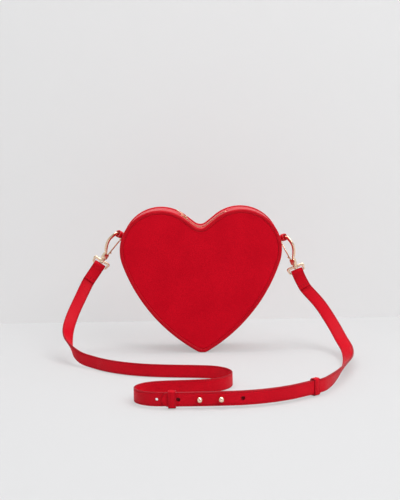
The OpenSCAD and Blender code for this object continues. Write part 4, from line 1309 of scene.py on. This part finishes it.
class PURSE_OT_stage(bpy.types.Operator):
    """Make the pale floor and wall, the lamps and the camera"""
    bl_idname = "purse.make_stage"
    bl_label = "Stage"

    def execute(self, context):
        # These are in metres
        far, floor_z, wall_y, wall_top = 3, -0.0004, 0.217, 2.2
        floor = [(-far, -far, floor_z), (far, -far, floor_z), (far, far, floor_z), (-far, far, floor_z)]
        wall = [(-far, wall_y, 0), (far, wall_y, 0), (far, wall_y, wall_top), (-far, wall_y, wall_top)]
        self.paper("floor", floor, colours().floor)
        self.paper("backdrop", wall, colours().wall, True)
        self.lamp("key", (0.9, -1.25, 1.55), (0, 0, 0.09), (1.1, 1.1), 18.5)
        self.lamp("top", (0, 0.02, 1.6), (0, 0.02, 0.1), (1.3, 0.4), 11)
        context.scene.world = self.studio(bpy.data.worlds.new("studio"))
        context.scene.view_settings.view_transform = "Standard"
        camera = bpy.data.cameras.new("camera")
        camera.lens, camera.sensor_fit, camera.sensor_height = 86.4, "VERTICAL", 36
        holder = bpy.data.objects.new("camera", camera)
        context.scene.collection.objects.link(holder)
        place, look_down, roll = (-0.001, -1.4668, 0.3115), 7.125, -1.04
        holder.matrix_world = shift(*place) @ spin(90 - look_down, "X") @ spin(roll, "Z")
        context.scene.camera = holder
        return {"FINISHED"}

    def studio(self, world):
        """Soft light all round, stronger from the front than from behind the bag."""
        f = Finish(world)
        way = f.node("ShaderNodeTexCoord", output="Generated")
        depth = f.node("ShaderNodeSeparateXYZ", None, {"Vector": way}, "Y")
        light = f.node("ShaderNodeMapRange", {"interpolation_type": "SMOOTHSTEP"}, {
            "Value": depth, "From Min": -0.98, "From Max": -0.35, "To Min": 0.3, "To Max": 0.78})
        seen = f.node("ShaderNodeLightPath", output="Is Camera Ray")
        strength = f.node("ShaderNodeMix", None, {"Factor": seen, "A": light, "B": 0.8}, "Result")
        back = f.node("ShaderNodeBackground", None, {"Color": (0.97, 0.98, 1, 1), "Strength": strength})
        return f.done(back, "ShaderNodeOutputWorld")

    def paper(self, name, corners, shade, one_sided=False):
        """A sheet of paper. The camera sees a little of its own colour in the shadows too."""
        mesh = bpy.data.meshes.new(name)
        mesh.from_pydata(corners, [], [(0, 1, 2, 3)])
        made = bpy.data.objects.new(name, mesh)
        bpy.context.scene.collection.objects.link(made)
        f = Finish(bpy.data.materials.new(name + "_paper"), shade)
        pulp = f.cloud(20 * MM, 4.0, 0.6)
        surface = f.surface(Base_Color=f.mixed(pulp, 0.985, 1), Roughness=0.85,
                            Specular_IOR_Level=0.2, Normal=f.bump(pulp, 0.02 * MM))
        seen = f.node("ShaderNodeLightPath", output="Is Camera Ray")
        glow = f.node("ShaderNodeEmission", None, {"Color": (*tone(230, 230, 230), 1), "Strength": 1.0})
        surface = f.node("ShaderNodeMixShader", None, {0: seen * 0.5, 1: surface, 2: glow})
        if one_sided:
            behind = f.node("ShaderNodeNewGeometry", output="Backfacing")
            clear = f.node("ShaderNodeBsdfTransparent")
            surface = f.node("ShaderNodeMixShader", None, {0: behind, 1: surface, 2: clear})
        mesh.materials.append(f.done(surface))
        return made

    def lamp(self, name, place, target, size, power):
        light = bpy.data.lights.new(name, "AREA")
        light.shape, light.energy = "RECTANGLE", power
        light.size, light.size_y = size
        made = bpy.data.objects.new(name, light)
        bpy.context.scene.collection.objects.link(made)
        made.location = place
        made.rotation_mode = "QUATERNION"
        made.rotation_quaternion = (Vector(target) - Vector(place)).to_track_quat("-Z", "Y")


MAKERS = (PURSE_OT_stage, PURSE_OT_boards, PURSE_OT_faces, PURSE_OT_edgings, PURSE_OT_side_band,
          PURSE_OT_zip, PURSE_OT_slider, PURSE_OT_tabs, PURSE_OT_snap_hooks, PURSE_OT_strap,
          PURSE_OT_keepers, PURSE_OT_studs)


class PURSE_PT_panel(bpy.types.Panel):
    """Sizes, colours and buttons for the purse"""
    bl_label = "Heart Shaped Purse"
    bl_idname = "PURSE_PT_panel"
    bl_space_type = "VIEW_3D"
    bl_region_type = "UI"
    bl_category = "Purse"

    def draw(self, context):
        for group in (context.scene.purse_sizes, context.scene.purse_colours):
            column = self.layout.column()
            for key in group.bl_rna.properties.keys():
                if key not in ("rna_type", "name"):
                    column.prop(group, key)
        for maker in MAKERS:
            self.layout.operator(maker.bl_idname)


CLASSES = (PurseSizes, PurseColours) + MAKERS + (PURSE_PT_panel,)


def register():
    for made in CLASSES:
        bpy.utils.register_class(made)
    bpy.types.Scene.purse_sizes = PointerProperty(type=PurseSizes)
    bpy.types.Scene.purse_colours = PointerProperty(type=PurseColours)


def unregister():
    del bpy.types.Scene.purse_colours
    del bpy.types.Scene.purse_sizes
    for made in reversed(CLASSES):
        bpy.utils.unregister_class(made)


def main():
    register()
    for maker in MAKERS:
        group, name = maker.bl_idname.split(".")
        getattr(getattr(bpy.ops, group), name)()


if __name__ == "__main__":
    main()
